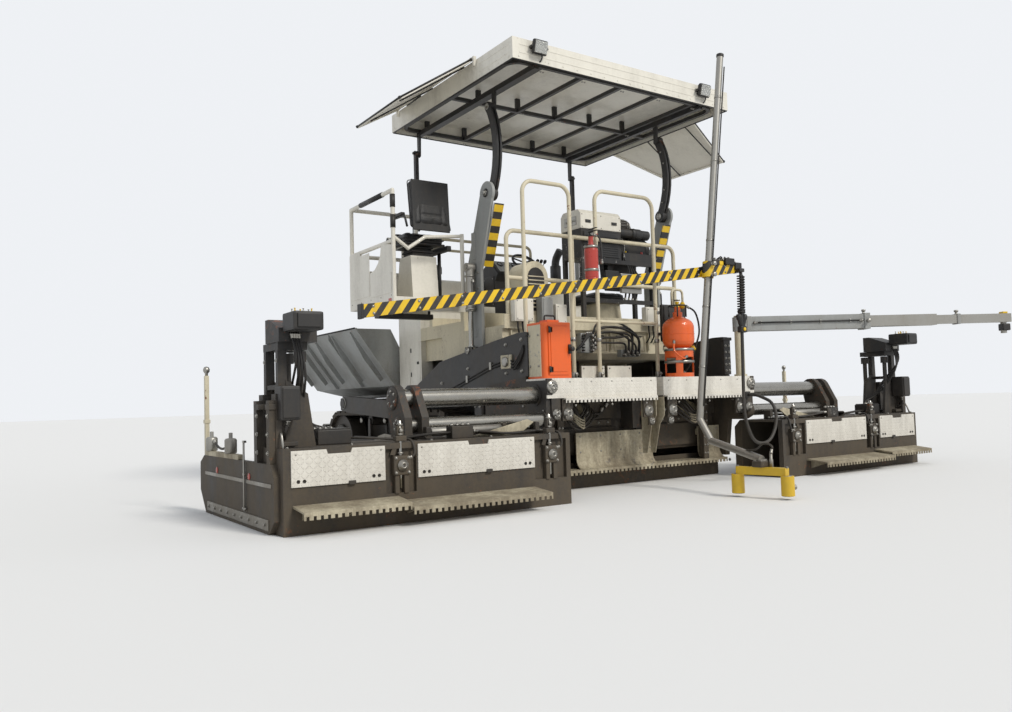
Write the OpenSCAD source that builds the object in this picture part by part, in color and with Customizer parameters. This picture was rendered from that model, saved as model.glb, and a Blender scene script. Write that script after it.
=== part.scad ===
// Asphalt paver on tracks, with a wide extended screed, a canopy and a levelling sensor.
// Millimetres. +X is the machine's right, +Y the paving direction, +Z up.
// The origin is on the ground, in the middle of the machine's length and width.

/* [Tractor] */
// Half of the width over the body panels
body_half_w = 1130; // [1110:5:1130]
// Rear face of the operator's deck
deck_rear_y = -1500; // [-1520:5:-1480]
// Top of the operator's deck
deck_z = 1500; // [1460:5:1510]
// Thickness of the deck plate
deck_t = 30; // [15:1:40]
// Rear face of the engine hood
hood_rear_y = 100; // [90:5:120]
// Front face of the engine hood
hood_front_y = 610; // [560:5:625]
// Top of the engine hood
hood_z = 2150; // [2000:10:2250]
// Sheet thickness of the hood
hood_t = 8; // [6:1:20]
// Thickness of each chassis beam
beam_t = 60; // [40:5:80]
// Gap between each chassis beam and its track
beam_gap = 30; // [15:5:40]
// Underside of the chassis beams
beam_low_z = 300; // [260:5:340]
// Top of the chassis beams
beam_top_z = 880; // [860:5:890]
// Rear end of the chassis beams
chassis_rear_y = -620; // [-640:5:-600]
// Top of the conveyor floor
floor_z = 580; // [540:5:600]
// Plate thickness of floors and tunnel roof
plate_t = 20; // [12:1:30]
// Underside of the rear overhang above the augers
overhang_z = 1190; // [1150:5:1230]

/* [Tracks] */
// Width of the track shoes
shoe_w = 300; // [240:5:310]
// How far the tracks stand out past the body panels
track_out = 20; // [0:5:30]
// Y of the drive sprocket's axis
sprocket_y = -250; // [-260:5:-200]
// Y of the front idler's axis
idler_y = 2320; // [2200:10:2400]
// Radius of the sprocket and idler
wheel_r = 310; // [290:5:315]
// Thickness of the track chain
belt_t = 30; // [20:1:32]
// Height of the rubber pads on the shoes
pad_t = 30; // [20:1:32]
// Nominal distance from one shoe to the next
shoe_pitch = 150; // [120:5:200]
// Number of bottom rollers on each side
roller_n = 7; // [5:1:8]
// Radius of the bottom rollers
roller_r = 80; // [60:2:85]

/* [Hopper] */
// Height of the wing hinge's axis
wing_hinge_z = 912; // [910:1:920]
// Width of the wing's floor, from its hinge to the fold
wing_floor_w = 390; // [350:5:410]
// Height of that fold
wing_fold_z = 1010; // [1005:5:1040]
// Width of the wing's side, from the fold to the rim
wing_side_w = 460; // [320:10:520]
// Height of the wing's upper rim
wing_rim_z = 1640; // [1500:10:1700]
// Sheet thickness of the wings
wing_t = 15; // [10:1:20]
// Gap between a wing and the hood or the front
wing_gap = 30; // [20:1:60]
// Distance between two conveyor slats
slat_pitch = 240; // [160:10:320]

/* [Push rollers] */
// Distance from the chassis beams' front end to the front of the push rollers
push_reach = 700; // [650:10:800]
// Distance from the origin to the front of the push rollers
front_reach = 3700; // [3600:10:3800]
// Radius of the push rollers
push_r = 90; // [70:5:100]
// Length of each push roller
push_len = 500; // [400:10:520]
// Height of the push rollers' axis
push_z = 460; // [420:5:500]

/* [Augers] */
// Y of the augers' axis
auger_y = -1000; // [-1020:5:-980]
// Height of the augers' axis
auger_z = 360; // [340:5:400]
// Radius of the flights
auger_r = 190; // [150:5:200]
// Outer end of each auger
auger_end_x = 2250; // [1800:10:2350]
// Pitch of the flights
auger_pitch = 350; // [280:10:450]

/* [Canopy] */
// Half of the roof's width
roof_half_w = 1345; // [1300:5:1400]
// Rear edge of the roof
roof_rear_y = -2060; // [-2100:10:-2000]
// Front edge of the roof
roof_front_y = 240; // [230:5:300]
// Lower edge of the roof's rim
roof_low_z = 3730; // [3700:5:3760]
// Height of the rim
roof_rim_h = 187; // [150:1:220]
// Length of the folding links under the roof
link_len = 830; // [800:5:850]
// Y of the rear links' pivots
link_rear_y = -1300; // [-1320:5:-1280]
// Y of the front links' pivots
link_front_y = 200; // [190:2:205]
// Height of the rear links' lower pivot
link_rear_z = 2750; // [2740:5:2760]
// Height of the front links' lower pivot
link_front_z = 2700; // [2690:5:2705]
// Width of each side flap, from its hinge
flap_w = 840; // [600:10:860]
// Slope of the side flaps below level, in degrees
flap_slope = 33; // [20:1:40]

/* [Screed] */
// Distance from the tow arms to the main screed's ends
screed_margin = 10; // [5:1:20]
// Rear face of the upper treads
tread_rear_y = -2300; // [-2320:5:-2290]
// Top of the upper treads
tread_z = 985; // [970:1:1000]
// Height of the tread's rear face
tread_h = 165; // [120:5:170]
// Depth of the upper treads
tread_d = 490; // [460:5:495]
// Gap between the left and right tread
tread_gap = 84; // [40:2:120]
// Rear face of the main screed body
main_rear_y = -1800; // [-1805:1:-1795]
// Front face of the main screed body
main_front_y = -1300; // [-1320:5:-1290]
// Top of the main screed body
main_top_z = 620; // [560:5:660]
// Y of the tow point
tow_y = 1900; // [1860:5:1940]
// Height of the tow point
tow_z = 830; // [825:1:835]
// Gap between the tracks and the tow arms
arm_gap = 20; // [10:5:40]
// Thickness of the tow arms
arm_t = 90; // [60:2:92]

/* [Extensions] */
// Gap between the main screed and each extension
ext_gap = 20; // [10:5:50]
// Length of each extension
ext_len = 2290; // [2270:5:2300]
// Rear face of the extensions
ext_rear_y = -2600; // [-2610:2:-2590]
// Front face of the extensions
ext_front_y = -2020; // [-2040:2:-2010]
// Top of the extension box
ext_top_z = 550; // [500:5:560]
// Thickness of the smoothing plates
sole_t = 40; // [20:1:50]
// Depth of the extensions' foot boards
board_d = 200; // [150:10:260]
// Radius of the upper guide tube
tube_a_r = 72; // [60:1:72]
// Radius of the lower guide tube
tube_b_r = 56; // [45:1:58]
// Thickness of the end gates
gate_t = 40; // [20:1:50]
// Front end of the end gates
gate_front_y = -740; // [-800:10:-700]
// Height of the end gates
gate_h = 450; // [380:10:480]

/* [Levelling] */
// Left end of the striped beam
stripe_left_x = -3030; // [-3100:10:-2900]
// Right end of the striped beam
stripe_right_x = 700; // [690:5:760]
// Height of the striped beam's left end
stripe_left_z = 1440; // [1430:5:1500]
// Height of the striped beam's right end
stripe_right_z = 1970; // [1900:10:2000]
// Y of the striped beam
stripe_y = -2600; // [-2620:5:-2590]
// Height of the striped beam's section
stripe_h = 90; // [60:5:100]
// Radius of the sensor pole
pole_r = 30; // [20:1:32]
// Y of the sensor head's rear foot
sensor_y = -3650; // [-3700:10:-3600]
// Length of the levelling boom from its pivot
boom_len = 2780; // [2500:10:2790]
// Outer width of the boom's first tube
boom_w = 140; // [120:2:140]

/* [Hidden] */
$fn = 48;

// Clearances: between faces that rest, at pins, between tubes that slide
seat_gap = 0.3;
pin_gap = 0.3;
slide_gap = 0.3;

// Colours
beige = "#d9d3bd";
white = "#ece9df";
black = "#1d1d1d";
steel = "#8f9190";
orange = "#e8762a";
yellow = "#e2b91c";
grey = "#8b9091";

// Derived places, from the middle outwards
track_x = body_half_w + track_out - shoe_w / 2;
beam_out_x = track_x - shoe_w / 2 - beam_gap;
beam_in_x = beam_out_x - beam_t;
wing_hinge_x = (beam_in_x + beam_out_x) / 2;
wing_fold_x = wing_hinge_x + wing_floor_w;
wing_rim_x = wing_fold_x + wing_side_w;
arm_in_x = body_half_w + track_out + arm_gap;
lift_x = arm_in_x + arm_t / 2;
screed_half_w = arm_in_x + arm_t + screed_margin;
ext_in_x = screed_half_w + ext_gap;
ext_out_x = ext_in_x + ext_len;
chassis_front_y = front_reach - push_reach;
track_axis_z = wheel_r + belt_t + pad_t;
belt_r = wheel_r + belt_t;
straight = idler_y - sprocket_y;
loop_len = 2 * straight + 2 * PI * belt_r;
shoe_n = round(loop_len / shoe_pitch);
shoe_step = loop_len / shoe_n;
hopper_rear_y = hood_front_y + wing_gap;
push_y = front_reach - push_r;
roof_top_z = roof_low_z + roof_rim_h;
link_half_t = 31;
link_x = body_half_w - 38;
tube_in_x = screed_half_w - 80;

// Draws its children on the right side and mirrored on the left side
module both() {
    children();
    mirror([1, 0, 0]) children();
}

// A box from its low corner to its high corner
module box(a, b) {
    translate(a) cube(b - a);
}

// A round bar between two points
module rod(a, b, r) {
    d = b - a;
    len = norm(d);
    translate(a)
        rotate([0, acos(d.z / len), atan2(d.y, d.x)])
            cylinder(r = r, h = len);
}

// A plate with an outline in Y and Z, from x on towards +X
module side_plate(x, t, points) {
    translate([x, 0, 0])
        rotate([90, 0, 90])
            linear_extrude(t) polygon(points);
}

// A plate with an outline in X and Z, from y on towards +Y
module cross_plate(y, t, points) {
    translate([0, y + t, 0])
        rotate([90, 0, 0])
            linear_extrude(t) polygon(points);
}

// A bar along X
module x_bar(x, len, y, z, r) {
    translate([x, y, z])
        rotate([0, 90, 0])
            cylinder(r = r, h = len);
}

// A bar along Y
module y_bar(y, len, x, z, r) {
    translate([x, y + len, z])
        rotate([90, 0, 0])
            cylinder(r = r, h = len);
}

// A bar along Z
module z_bar(z, len, x, y, r) {
    translate([x, y, z]) cylinder(r = r, h = len);
}

// Points on an arc around [u, v], from angle a0 to a1
function arc(u, v, r, a0, a1, n = 8) =
    [for (i = [0 : n]) let (a = a0 + (a1 - a0) * i / n) [u + r * cos(a), v + r * sin(a)]];

// A quarter bend of round tube, in X and Y around the origin
module tube_bend(bend, r) {
    rotate_extrude(angle = 90) translate([bend, 0]) circle(r = r);
}

// A bent hoop of round tube in the plane of Y: two legs, two bends and a top bar
module hoop(x0, x1, y, z0, z1, r, bend) {
    for (x = [x0, x1]) z_bar(z0, z1 - z0 - bend, x, y, r);
    x_bar(x0 + bend, x1 - x0 - 2 * bend, y, z1, r);
    translate([x1 - bend, y, z1 - bend]) rotate([90, 0, 0]) tube_bend(bend, r);
    translate([x0 + bend, y, z1 - bend]) mirror([1, 0, 0]) rotate([90, 0, 0]) tube_bend(bend, r);
}

// A bent tube through points: straight rods joined by round elbows
module bent_rod(points, r) {
    for (i = [0 : len(points) - 2]) rod(points[i], points[i + 1], r);
    for (i = [1 : len(points) - 2]) translate(points[i]) sphere(r = r + 2);
}

// Chassis beams, tunnel roof, tow brackets and the push beam's clevis
tow_pin_r = 40;
push_pin_r = 40;
push_pin_y = push_y - 160;
push_beam_h = 160;
clevis_t = 20;
clevis_gap = 5;
lug_t = 30;
lug_r = 60;
lug_hole_r = 30;
rear_lug_x = 700;
rear_lug_y = chassis_rear_y - 52;
rear_lug_z = 370;

module tie_lug(y) {
    translate([0, y, beam_low_z - 10])
        difference() {
            union() {
                box([beam_out_x - lug_t, -lug_r, 0], [beam_out_x, lug_r, 10]);
                translate([beam_out_x - lug_t, 0, -30])
                    rotate([0, 90, 0]) cylinder(r = lug_r, h = lug_t);
            }
            translate([beam_out_x - lug_t - 1, 0, -40])
                rotate([0, 90, 0]) cylinder(r = lug_hole_r, h = lug_t + 2);
            box([beam_in_x, -lug_r, 10], [beam_out_x + 1, lug_r, lug_r]);
        }
}

module chassis() color(black) {
    push_top = push_z + push_beam_h / 2;
    push_low = push_z - push_beam_h / 2;
    both() {
        box([beam_in_x, chassis_rear_y, beam_low_z], [beam_out_x, chassis_front_y, beam_top_z]);
        box([beam_out_x, tow_y - 60, beam_top_z - 110], [arm_in_x - 20, tow_y + 60, beam_top_z - 5]);
        x_bar(arm_in_x - 21, arm_t + 31, tow_y, tow_z, tow_pin_r);
        x_bar(arm_in_x + arm_t + 6, 14, tow_y, tow_z, tow_pin_r + 20);
        box([220, chassis_front_y, push_low], [300, push_pin_y - 140, push_top]);
        for (y = [hopper_rear_y - 25, chassis_front_y - 25])
            box([wing_hinge_x - 20, y, beam_top_z], [wing_hinge_x + 20, y + 20, wing_hinge_z + 20]);
        y_bar(hopper_rear_y - 5, chassis_front_y - hopper_rear_y - 20, wing_hinge_x, wing_hinge_z, 12);
        tie_lug(chassis_front_y - 120);
        difference() {
            union() {
                x_bar(rear_lug_x, lug_t, rear_lug_y, rear_lug_z, 52);
                box([rear_lug_x, rear_lug_y, rear_lug_z - 52], [rear_lug_x + lug_t, chassis_rear_y, rear_lug_z + 52]);
            }
            x_bar(rear_lug_x - 1, lug_t + 2, rear_lug_y, rear_lug_z, lug_hole_r);
        }
    }
    box([-beam_in_x, chassis_front_y - 60, beam_low_z], [beam_in_x, chassis_front_y, floor_z - plate_t]);
    box([-beam_in_x, chassis_rear_y, beam_low_z], [beam_in_x, chassis_rear_y + 60, floor_z - plate_t - 120]);
    box([-beam_in_x, 1000, beam_low_z], [beam_in_x, 1060, floor_z - plate_t]);
    box([-beam_in_x, chassis_rear_y, beam_top_z - plate_t], [beam_in_x, hood_front_y, beam_top_z]);
    box([-300, push_pin_y - 190, push_low], [300, push_pin_y - 140, push_top]);
    for (z = [push_top + clevis_gap, push_low - clevis_gap - clevis_t])
        box([-120, push_pin_y - 190, z], [120, push_pin_y + 45, z + clevis_t]);
    box([-120, push_pin_y - 190, push_top], [120, push_pin_y - 140, push_top + clevis_gap]);
    box([-120, push_pin_y - 190, push_low - clevis_gap], [120, push_pin_y - 140, push_low]);
    z_bar(push_low - clevis_gap - 1, push_beam_h + 2 * clevis_gap + 2, 0, push_pin_y, push_pin_r);
}

// One track: a closed loop with its shoes in the outline
// Point at arc length s on the chain's outer face, h above it
function loop_point(s, h) =
    let (r = belt_r + h, half = straight + PI * belt_r)
    s < straight ? [sprocket_y + s, track_axis_z - r]
    : s < half ? let (a = (s - straight) / belt_r * 180 / PI)
        [idler_y + r * sin(a), track_axis_z - r * cos(a)]
    : s < half + straight ? [idler_y - (s - half), track_axis_z + r]
    : let (a = (s - half - straight) / belt_r * 180 / PI)
        [sprocket_y - r * sin(a), track_axis_z + r * cos(a)];

module track(x) color(black) {
    // Share of the pitch and height above the chain, for one shoe's outline
    shoe = [[0.02, 0], [0.06, pad_t], [0.76, pad_t], [0.80, 0]];
    outline = [for (i = [0 : shoe_n - 1]) for (p = shoe) loop_point((i + p[0]) * shoe_step, p[1])];
    difference() {
        side_plate(x - shoe_w / 2, shoe_w, outline);
        for (y = [sprocket_y, idler_y])
            x_bar(x - shoe_w, 2 * shoe_w, y, track_axis_z, wheel_r);
        box([x - shoe_w, sprocket_y, track_axis_z - wheel_r], [x + shoe_w, idler_y, track_axis_z + wheel_r]);
    }
}

// Sprocket, idler, rollers and the frame between them, inside each track
module running_gear() color(steel) {
    cheek = 20;
    inner = track_x - shoe_w / 2 + 30;
    wheel_w = shoe_w - 60 - 2 * cheek;
    both() {
        for (x = [inner, inner + cheek + wheel_w])
            box([x, sprocket_y, track_axis_z - 90], [x + cheek, idler_y, track_axis_z + 30]);
        for (y = [sprocket_y, idler_y]) {
            x_bar(inner + cheek, wheel_w, y, track_axis_z, wheel_r - seat_gap);
            x_bar(inner, wheel_w + 2 * cheek, y, track_axis_z, 130);
        }
        for (i = [1 : roller_n]) {
            y = sprocket_y + straight * i / (roller_n + 1);
            z = track_axis_z - wheel_r + roller_r + seat_gap;
            x_bar(inner + cheek, wheel_w, y, z, roller_r);
            x_bar(inner, wheel_w + 2 * cheek, y, z, 30);
            for (x = [inner, inner + cheek + wheel_w])
                box([x, y - 40, z - 30], [x + cheek, y + 40, track_axis_z - 90]);
        }
        for (f = [0.33, 0.67]) {
            y = sprocket_y + straight * f;
            x_bar(inner + cheek, wheel_w, y, track_axis_z + wheel_r - 60 - seat_gap, 60);
            x_bar(inner, wheel_w + 2 * cheek, y, track_axis_z + wheel_r - 60 - seat_gap, 25);
            for (x = [inner, inner + cheek + wheel_w])
                box([x, y - 30, track_axis_z + 30], [x + cheek, y + 30, track_axis_z + wheel_r - 60]);
        }
        for (f = [0.15, 0.5, 0.85])
            x_bar(beam_out_x, inner - beam_out_x, sprocket_y + straight * f, track_axis_z - 30, 50);
    }
}

// Conveyor floor, centre divider and the hopper's front lip
divider_half = 55;
lip_z = 760;

module hopper_bed() color(grey) {
    box([-beam_in_x, chassis_rear_y, floor_z - plate_t], [beam_in_x, chassis_front_y, floor_z]);
    cross_plate(chassis_rear_y + 40, chassis_front_y - chassis_rear_y - 140,
        [[-divider_half, floor_z], [divider_half, floor_z], [25, floor_z + 90], [-25, floor_z + 90]]);
    box([-beam_in_x, chassis_front_y - plate_t, floor_z], [beam_in_x, chassis_front_y, lip_z]);
}

// Two slat conveyors on the floor, each with two chains
module conveyor() color(steel) {
    in = divider_half + 15;
    out = beam_in_x - 15;
    y0 = chassis_rear_y + 30;
    y1 = chassis_front_y - 80;
    n = floor((y1 - y0 - 60) / slat_pitch);
    both() {
        for (x = [in, out - 40]) box([x, y0, floor_z], [x + 40, y1, floor_z + 35]);
        for (i = [0 : n])
            box([in + 20, y0 + 20 + i * slat_pitch, floor_z + 8], [out - 20, y0 + 80 + i * slat_pitch, floor_z + 45]);
    }
}

// Engine as one plain block, on the tunnel roof
module engine_block() color(steel) {
    box([-450, -330, beam_top_z], [450, hood_front_y - 80, beam_top_z + 540]);
}

// Rear body between the tracks and above the augers
body_front_y = -350;
body_low_y = chassis_rear_y;

module rear_body() color(beige) {
    wall_t = 25;
    back_y = deck_rear_y + 40;
    under_z = deck_z - deck_t;
    difference() {
        side_plate(-body_half_w, 2 * body_half_w, [
            [body_front_y, beam_top_z], [body_low_y, beam_top_z], [body_low_y, overhang_z],
            [back_y + 60, overhang_z], [back_y, overhang_z + 60], [back_y, under_z],
            [body_front_y, under_z]]);
        // Recessed doors of the back wall, from the left
        for (x = [-0.71, -0.27, 0.18] * body_half_w)
            box([x, back_y - 1, overhang_z + 80], [x + 420, back_y + 10, under_z - 40]);
        box([-body_half_w + 30, back_y + 40, overhang_z + wall_t],
            [body_half_w - 30, body_front_y + 1, under_z - wall_t]);
        box([-body_half_w + 30, body_low_y + 20, beam_top_z + wall_t],
            [body_half_w - 30, body_front_y + 1, overhang_z + wall_t + 1]);
    }
    // Stiffening ribs of the back wall
    for (x = [-0.93, -0.32, 0.13, 0.58, 0.91] * body_half_w)
        side_plate(x, 12, [
            [back_y, overhang_z + 70], [back_y - 28, overhang_z + 110], [back_y - 28, under_z - 20],
            [back_y, under_z]]);
    both() for (y = [body_low_y + 20, body_front_y - 60])
        box([beam_out_x, y, beam_top_z - 60], [body_half_w - 80, y + 40, beam_top_z]);
}

// Engine hood: a shell open below, with louvred sides
module hood() color(white) {
    bend = 70;
    // Outline in Y and Z, drawn in by t
    outline = function(t, low) concat(
        [[hood_rear_y + t, low], [hood_front_y - t, low]],
        arc(hood_front_y - bend, hood_z - bend, bend - t, 0, 90),
        arc(hood_rear_y + bend, hood_z - bend, bend - t, 90, 180));
    difference() {
        side_plate(-body_half_w, 2 * body_half_w, outline(0, beam_top_z));
        side_plate(-body_half_w + hood_t, 2 * (body_half_w - hood_t), outline(hood_t, beam_top_z - 1));
        box([-0.88 * body_half_w, hood_rear_y - 1, beam_top_z - 1],
            [0.88 * body_half_w, hood_rear_y + hood_t + 1, deck_z - deck_t - 20]);
        for (i = [0 : 7]) {
            z = deck_z + 250 + i * 42;
            box([-body_half_w - 1, hood_rear_y + 90, z], [body_half_w + 1, hood_front_y - 90, z + 18]);
        }
        // Joint of the lid
        box([-body_half_w - 1, hood_rear_y - 1, hood_z - 260], [body_half_w + 1, hood_rear_y + 3, hood_z - 254]);
    }
}

// Operator's deck with its toe boards, side skirts, rear rails and the pedestal of the right seat
rail_r = 20;
skirt_t = 20;

module platform() color(beige) {
    rail_y = deck_rear_y + 25;
    rail_x = body_half_w - 60;
    rail_h = 880;
    toe_h = 100;
    bend = 90;
    box([-body_half_w, deck_rear_y, deck_z - deck_t], [body_half_w, hood_rear_y, deck_z]);
    for (x = [-rail_x, rail_x - skirt_t])
        box([x, body_front_y, overhang_z + 60], [x + skirt_t, hood_rear_y, deck_z - deck_t]);
    box([-body_half_w, deck_rear_y, deck_z], [body_half_w, deck_rear_y + 10, deck_z + toe_h]);
    both() box([body_half_w - 10, hood_rear_y - 900, deck_z], [body_half_w, hood_rear_y, deck_z + toe_h]);
    hoop(-rail_x, rail_x, rail_y, deck_z, deck_z + rail_h, rail_r, bend);
    x_bar(-rail_x, 2 * rail_x, rail_y, deck_z + rail_h / 2, rail_r);
    z_bar(deck_z, rail_h, pack_x0 - 150, rail_y, rail_r);
    // Pedestal of the right seat
    side_plate(seat_right_x - 150, 300, [
        [seat_y - 170, deck_z], [seat_y + 130, deck_z], [seat_y + 130, deck_z + 60],
        [seat_y + 90, deck_z + seat_h], [seat_y - 130, deck_z + seat_h], [seat_y - 170, deck_z + 60]]);
    // Runners of the station
    for (y = [-790, -160])
        box([-body_half_w, y, deck_z], [-body_half_w + 510, y + 60, station_z - seat_gap]);
}

// Steering console in front of the deck
console_x = 340;

module console() color(black) {
    side_plate(-console_x, 2 * console_x, [
        [hood_rear_y - 30, deck_z], [hood_rear_y - 30, deck_z + 780], [-60, deck_z + 860],
        [-230, deck_z + 700], [-170, deck_z + 620], [-150, deck_z]]);
}

// Seat cushions: bottom and back in one soft solid
module seat_cushions(x, y, z) color(black) {
    box([x - 235, y - 180, z], [x + 235, y + 260, z + 120]);
    side_plate(x - 225, 450, [
        [y - 180, z], [y - 180, z + 120], [y - 200, z + 620], [y - 290, z + 620], [y - 300, z + 60]]);
}
seat_y = -780;
seat_right_x = body_half_w - 480;
seat_h = 330;

module seat_right() {
    seat_cushions(seat_right_x, seat_y, deck_z + seat_h);
}

// Generator and hydraulic power pack on its frame at the back of the deck
pack_x0 = -150;
pack_x1 = 820;
pack_z = 2200;

module power_pack() color("#4a4a48") {
    y0 = deck_rear_y + 60;
    y1 = -1130;
    mid_y = (y0 + y1) / 2;
    housing_x1 = pack_x0 + 520;
    crank_z = pack_z + 150;
    difference() {
        side_plate(pack_x0, housing_x1 - pack_x0, [
            [y0, pack_z], [y1, pack_z], [y1, pack_z + 440], [y1 - 40, pack_z + 480],
            [y0 + 40, pack_z + 480], [y0, pack_z + 440]]);
        for (i = [0 : 5])
            box([pack_x0 + 60, y0 - 1, pack_z + 50 + i * 32], [housing_x1 - 60, y0 + 10, pack_z + 62 + i * 32]);
    }
    // Engine: flywheel, crankcase, finned cylinder, air filter, silencer and its frame
    x_bar(housing_x1, 40, mid_y, crank_z, 145);
    x_bar(housing_x1 + 40, 110, mid_y, crank_z, 110);
    box([housing_x1 + 40, y0 + 20, pack_z], [pack_x1, y1 - 20, pack_z + 90]);
    box([housing_x1 + 150, mid_y - 100, pack_z + 90], [pack_x1 - 30, mid_y + 100, pack_z + 220]);
    box([housing_x1 + 190, mid_y - 60, pack_z + 220], [pack_x1 - 70, mid_y + 60, pack_z + 340]);
    for (i = [0 : 5])
        box([housing_x1 + 165, mid_y - 85, pack_z + 230 + i * 18], [pack_x1 - 45, mid_y + 85, pack_z + 238 + i * 18]);
    x_bar(housing_x1, 260, y1 - 90, pack_z + 400, 75);
    z_bar(pack_z + 220, 110, housing_x1 + 180, y1 - 90, 25);
    x_bar(housing_x1, pack_x1 - housing_x1 - 20, y0 + 70, pack_z + 300, 50);
    for (x = [pack_x0, pack_x1 - 40]) for (y = [y0, y1 - 40])
        box([x, y, deck_z], [x + 40, y + 40, pack_z]);
    for (z = [deck_z + 260, pack_z - 40])
        box([pack_x0, y0, z], [pack_x1, y0 + 40, z + 40]);
}

// Plates that carry the canopy's rear links and the lift cylinders, and the front posts' stanchions
bracket_t = 28;
canopy_plate_x = body_half_w + 2;
lift_y = -1060;
lift_top_z = 2080;
lift_low_z = 1290;
lift_pin_r = 20;

module canopy_brackets() color(white) {
    r = 110;
    plate_x = canopy_plate_x;
    foot_z = overhang_z + 40;
    both() {
        x_bar(plate_x, bracket_t, link_rear_y, link_rear_z, r);
        difference() {
            side_plate(plate_x, bracket_t, [
                [link_rear_y - r, link_rear_z], [link_rear_y + r, link_rear_z],
                [lift_y + r, lift_top_z + 60], [lift_y + r, foot_z],
                [lift_y - r, foot_z], [lift_y - r, lift_top_z - 40]]);
            x_bar(plate_x - 1, bracket_t + 2, lift_y, lift_top_z, lift_pin_r + pin_gap);
        }
        x_bar(link_x - link_half_t, plate_x + 1 - link_x + link_half_t, link_rear_y, link_rear_z, 30);
        box([body_half_w, lift_y - 60, foot_z + 20], [plate_x, lift_y + 60, deck_z - 60]);
        x_bar(plate_x + bracket_t, 6, link_rear_y, link_rear_z, 42);
        box([body_half_w - 16, link_front_y - 35, hood_z], [body_half_w, link_front_y + 35, link_front_z + 35]);
        x_bar(link_x - link_half_t, 54, link_front_y, link_front_z, 15);
    }
}

// Chain case between the augers and their outer hangers
hanger_t = 25;
hanger_x = body_half_w - hanger_t - 5;
auger_shaft_r = 45;

module auger_carrier() color(black) {
    box([-50, auger_y - 90, auger_z - 100], [50, auger_y + 90, overhang_z]);
    both() difference() {
        union() {
            box([hanger_x, auger_y - 60, auger_z], [hanger_x + hanger_t, auger_y + 60, overhang_z]);
            x_bar(hanger_x, hanger_t, auger_y, auger_z, 80);
        }
        x_bar(hanger_x - 1, hanger_t + 2, auger_y, auger_z, auger_shaft_r + pin_gap);
    }
}

// One auger on the right: shaft and two stretches of helical flight
module auger_half(turn) {
    x_bar(50 + seat_gap, auger_end_x - 50, auger_y, auger_z, auger_shaft_r);
    // Start and end of each stretch along X
    for (s = [[70, hanger_x - 12], [hanger_x + hanger_t + 12, auger_end_x]]) {
        len = s[1] - s[0];
        translate([s[0], auger_y, auger_z])
            rotate([0, 90, 0])
                linear_extrude(len, twist = turn * 360 * len / auger_pitch, slices = round(len / auger_pitch * 14),
                    segments = 4)
                    translate([-9, 0]) square([18, auger_r]);
    }
}

module auger_right() color(steel) {
    auger_half(1);
}

module auger_left() color(steel) {
    mirror([1, 0, 0]) auger_half(1);
}

// Swinging push beam and its two rollers
roller_in_x = 340;

module push_beam() color(black) {
    half = push_beam_h / 2;
    ear = 20;
    difference() {
        box([-900, push_pin_y - 50, push_z - half], [900, push_pin_y + 50, push_z + half]);
        z_bar(push_z - half - 1, push_beam_h + 2, 0, push_pin_y, push_pin_r + pin_gap);
    }
    both() for (x = [roller_in_x - ear - 6, roller_in_x + push_len + 6])
        side_plate(x, ear, [
            [push_pin_y + 50, push_z - 70], [push_y + 30, push_z - 40], [push_y + 60, push_z],
            [push_y + 30, push_z + 40], [push_pin_y + 50, push_z + 70]]);
    both() x_bar(roller_in_x - 7, push_len + 14, push_y, push_z, 20);
}

module push_roller(x) color(steel) {
    difference() {
        x_bar(x, push_len, push_y, push_z, push_r);
        x_bar(x - 1, push_len + 2, push_y, push_z, 20 + pin_gap);
    }
}

// Folding hopper wing on the right: hinge tube, floor, side and end plates
module wing() {
    y0 = hopper_rear_y;
    y1 = chassis_front_y - 30;
    t = wing_t;
    difference() {
        union() {
            y_bar(y0, y1 - y0, wing_hinge_x, wing_hinge_z, 26);
            cross_plate(y0, y1 - y0, [
                [wing_hinge_x + 10, wing_hinge_z + 8], [wing_fold_x, wing_fold_z],
                [wing_rim_x, wing_rim_z], [wing_rim_x - t, wing_rim_z + t / 2],
                [wing_fold_x - t, wing_fold_z + t], [wing_hinge_x + 6, wing_hinge_z + 8 + t]]);
            for (y = [y0, y1 - t])
                cross_plate(y, t, [
                    [wing_hinge_x + 60, wing_hinge_z + 26], [wing_fold_x - 2, wing_fold_z + 4],
                    [wing_rim_x - 4, wing_rim_z], [wing_rim_x - 420, wing_rim_z]]);
            for (i = [1 : 2])
                cross_plate(y0 + (y1 - y0) * i / 3, t, [
                    [wing_fold_x - 4, wing_fold_z + 5], [wing_fold_x + 50, wing_fold_z + 5],
                    [wing_rim_x, wing_rim_z - 70], [wing_rim_x - 5, wing_rim_z]]);
        }
        y_bar(y0 - 1, y1 - y0 + 2, wing_hinge_x, wing_hinge_z, 12 + pin_gap);
    }
}

module wing_right() color(grey) {
    wing();
}

module wing_left() color(grey) {
    mirror([1, 0, 0]) wing();
}

// Outboard operator's station on the left, which slides in over the deck
station_z = deck_z + 190;
station_w = 775;
station_in_x = -body_half_w - 45;
station_out_x = station_in_x - station_w;
station_rear_y = -920;
station_front_y = 50;
station_rail_z = 2780;

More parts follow.
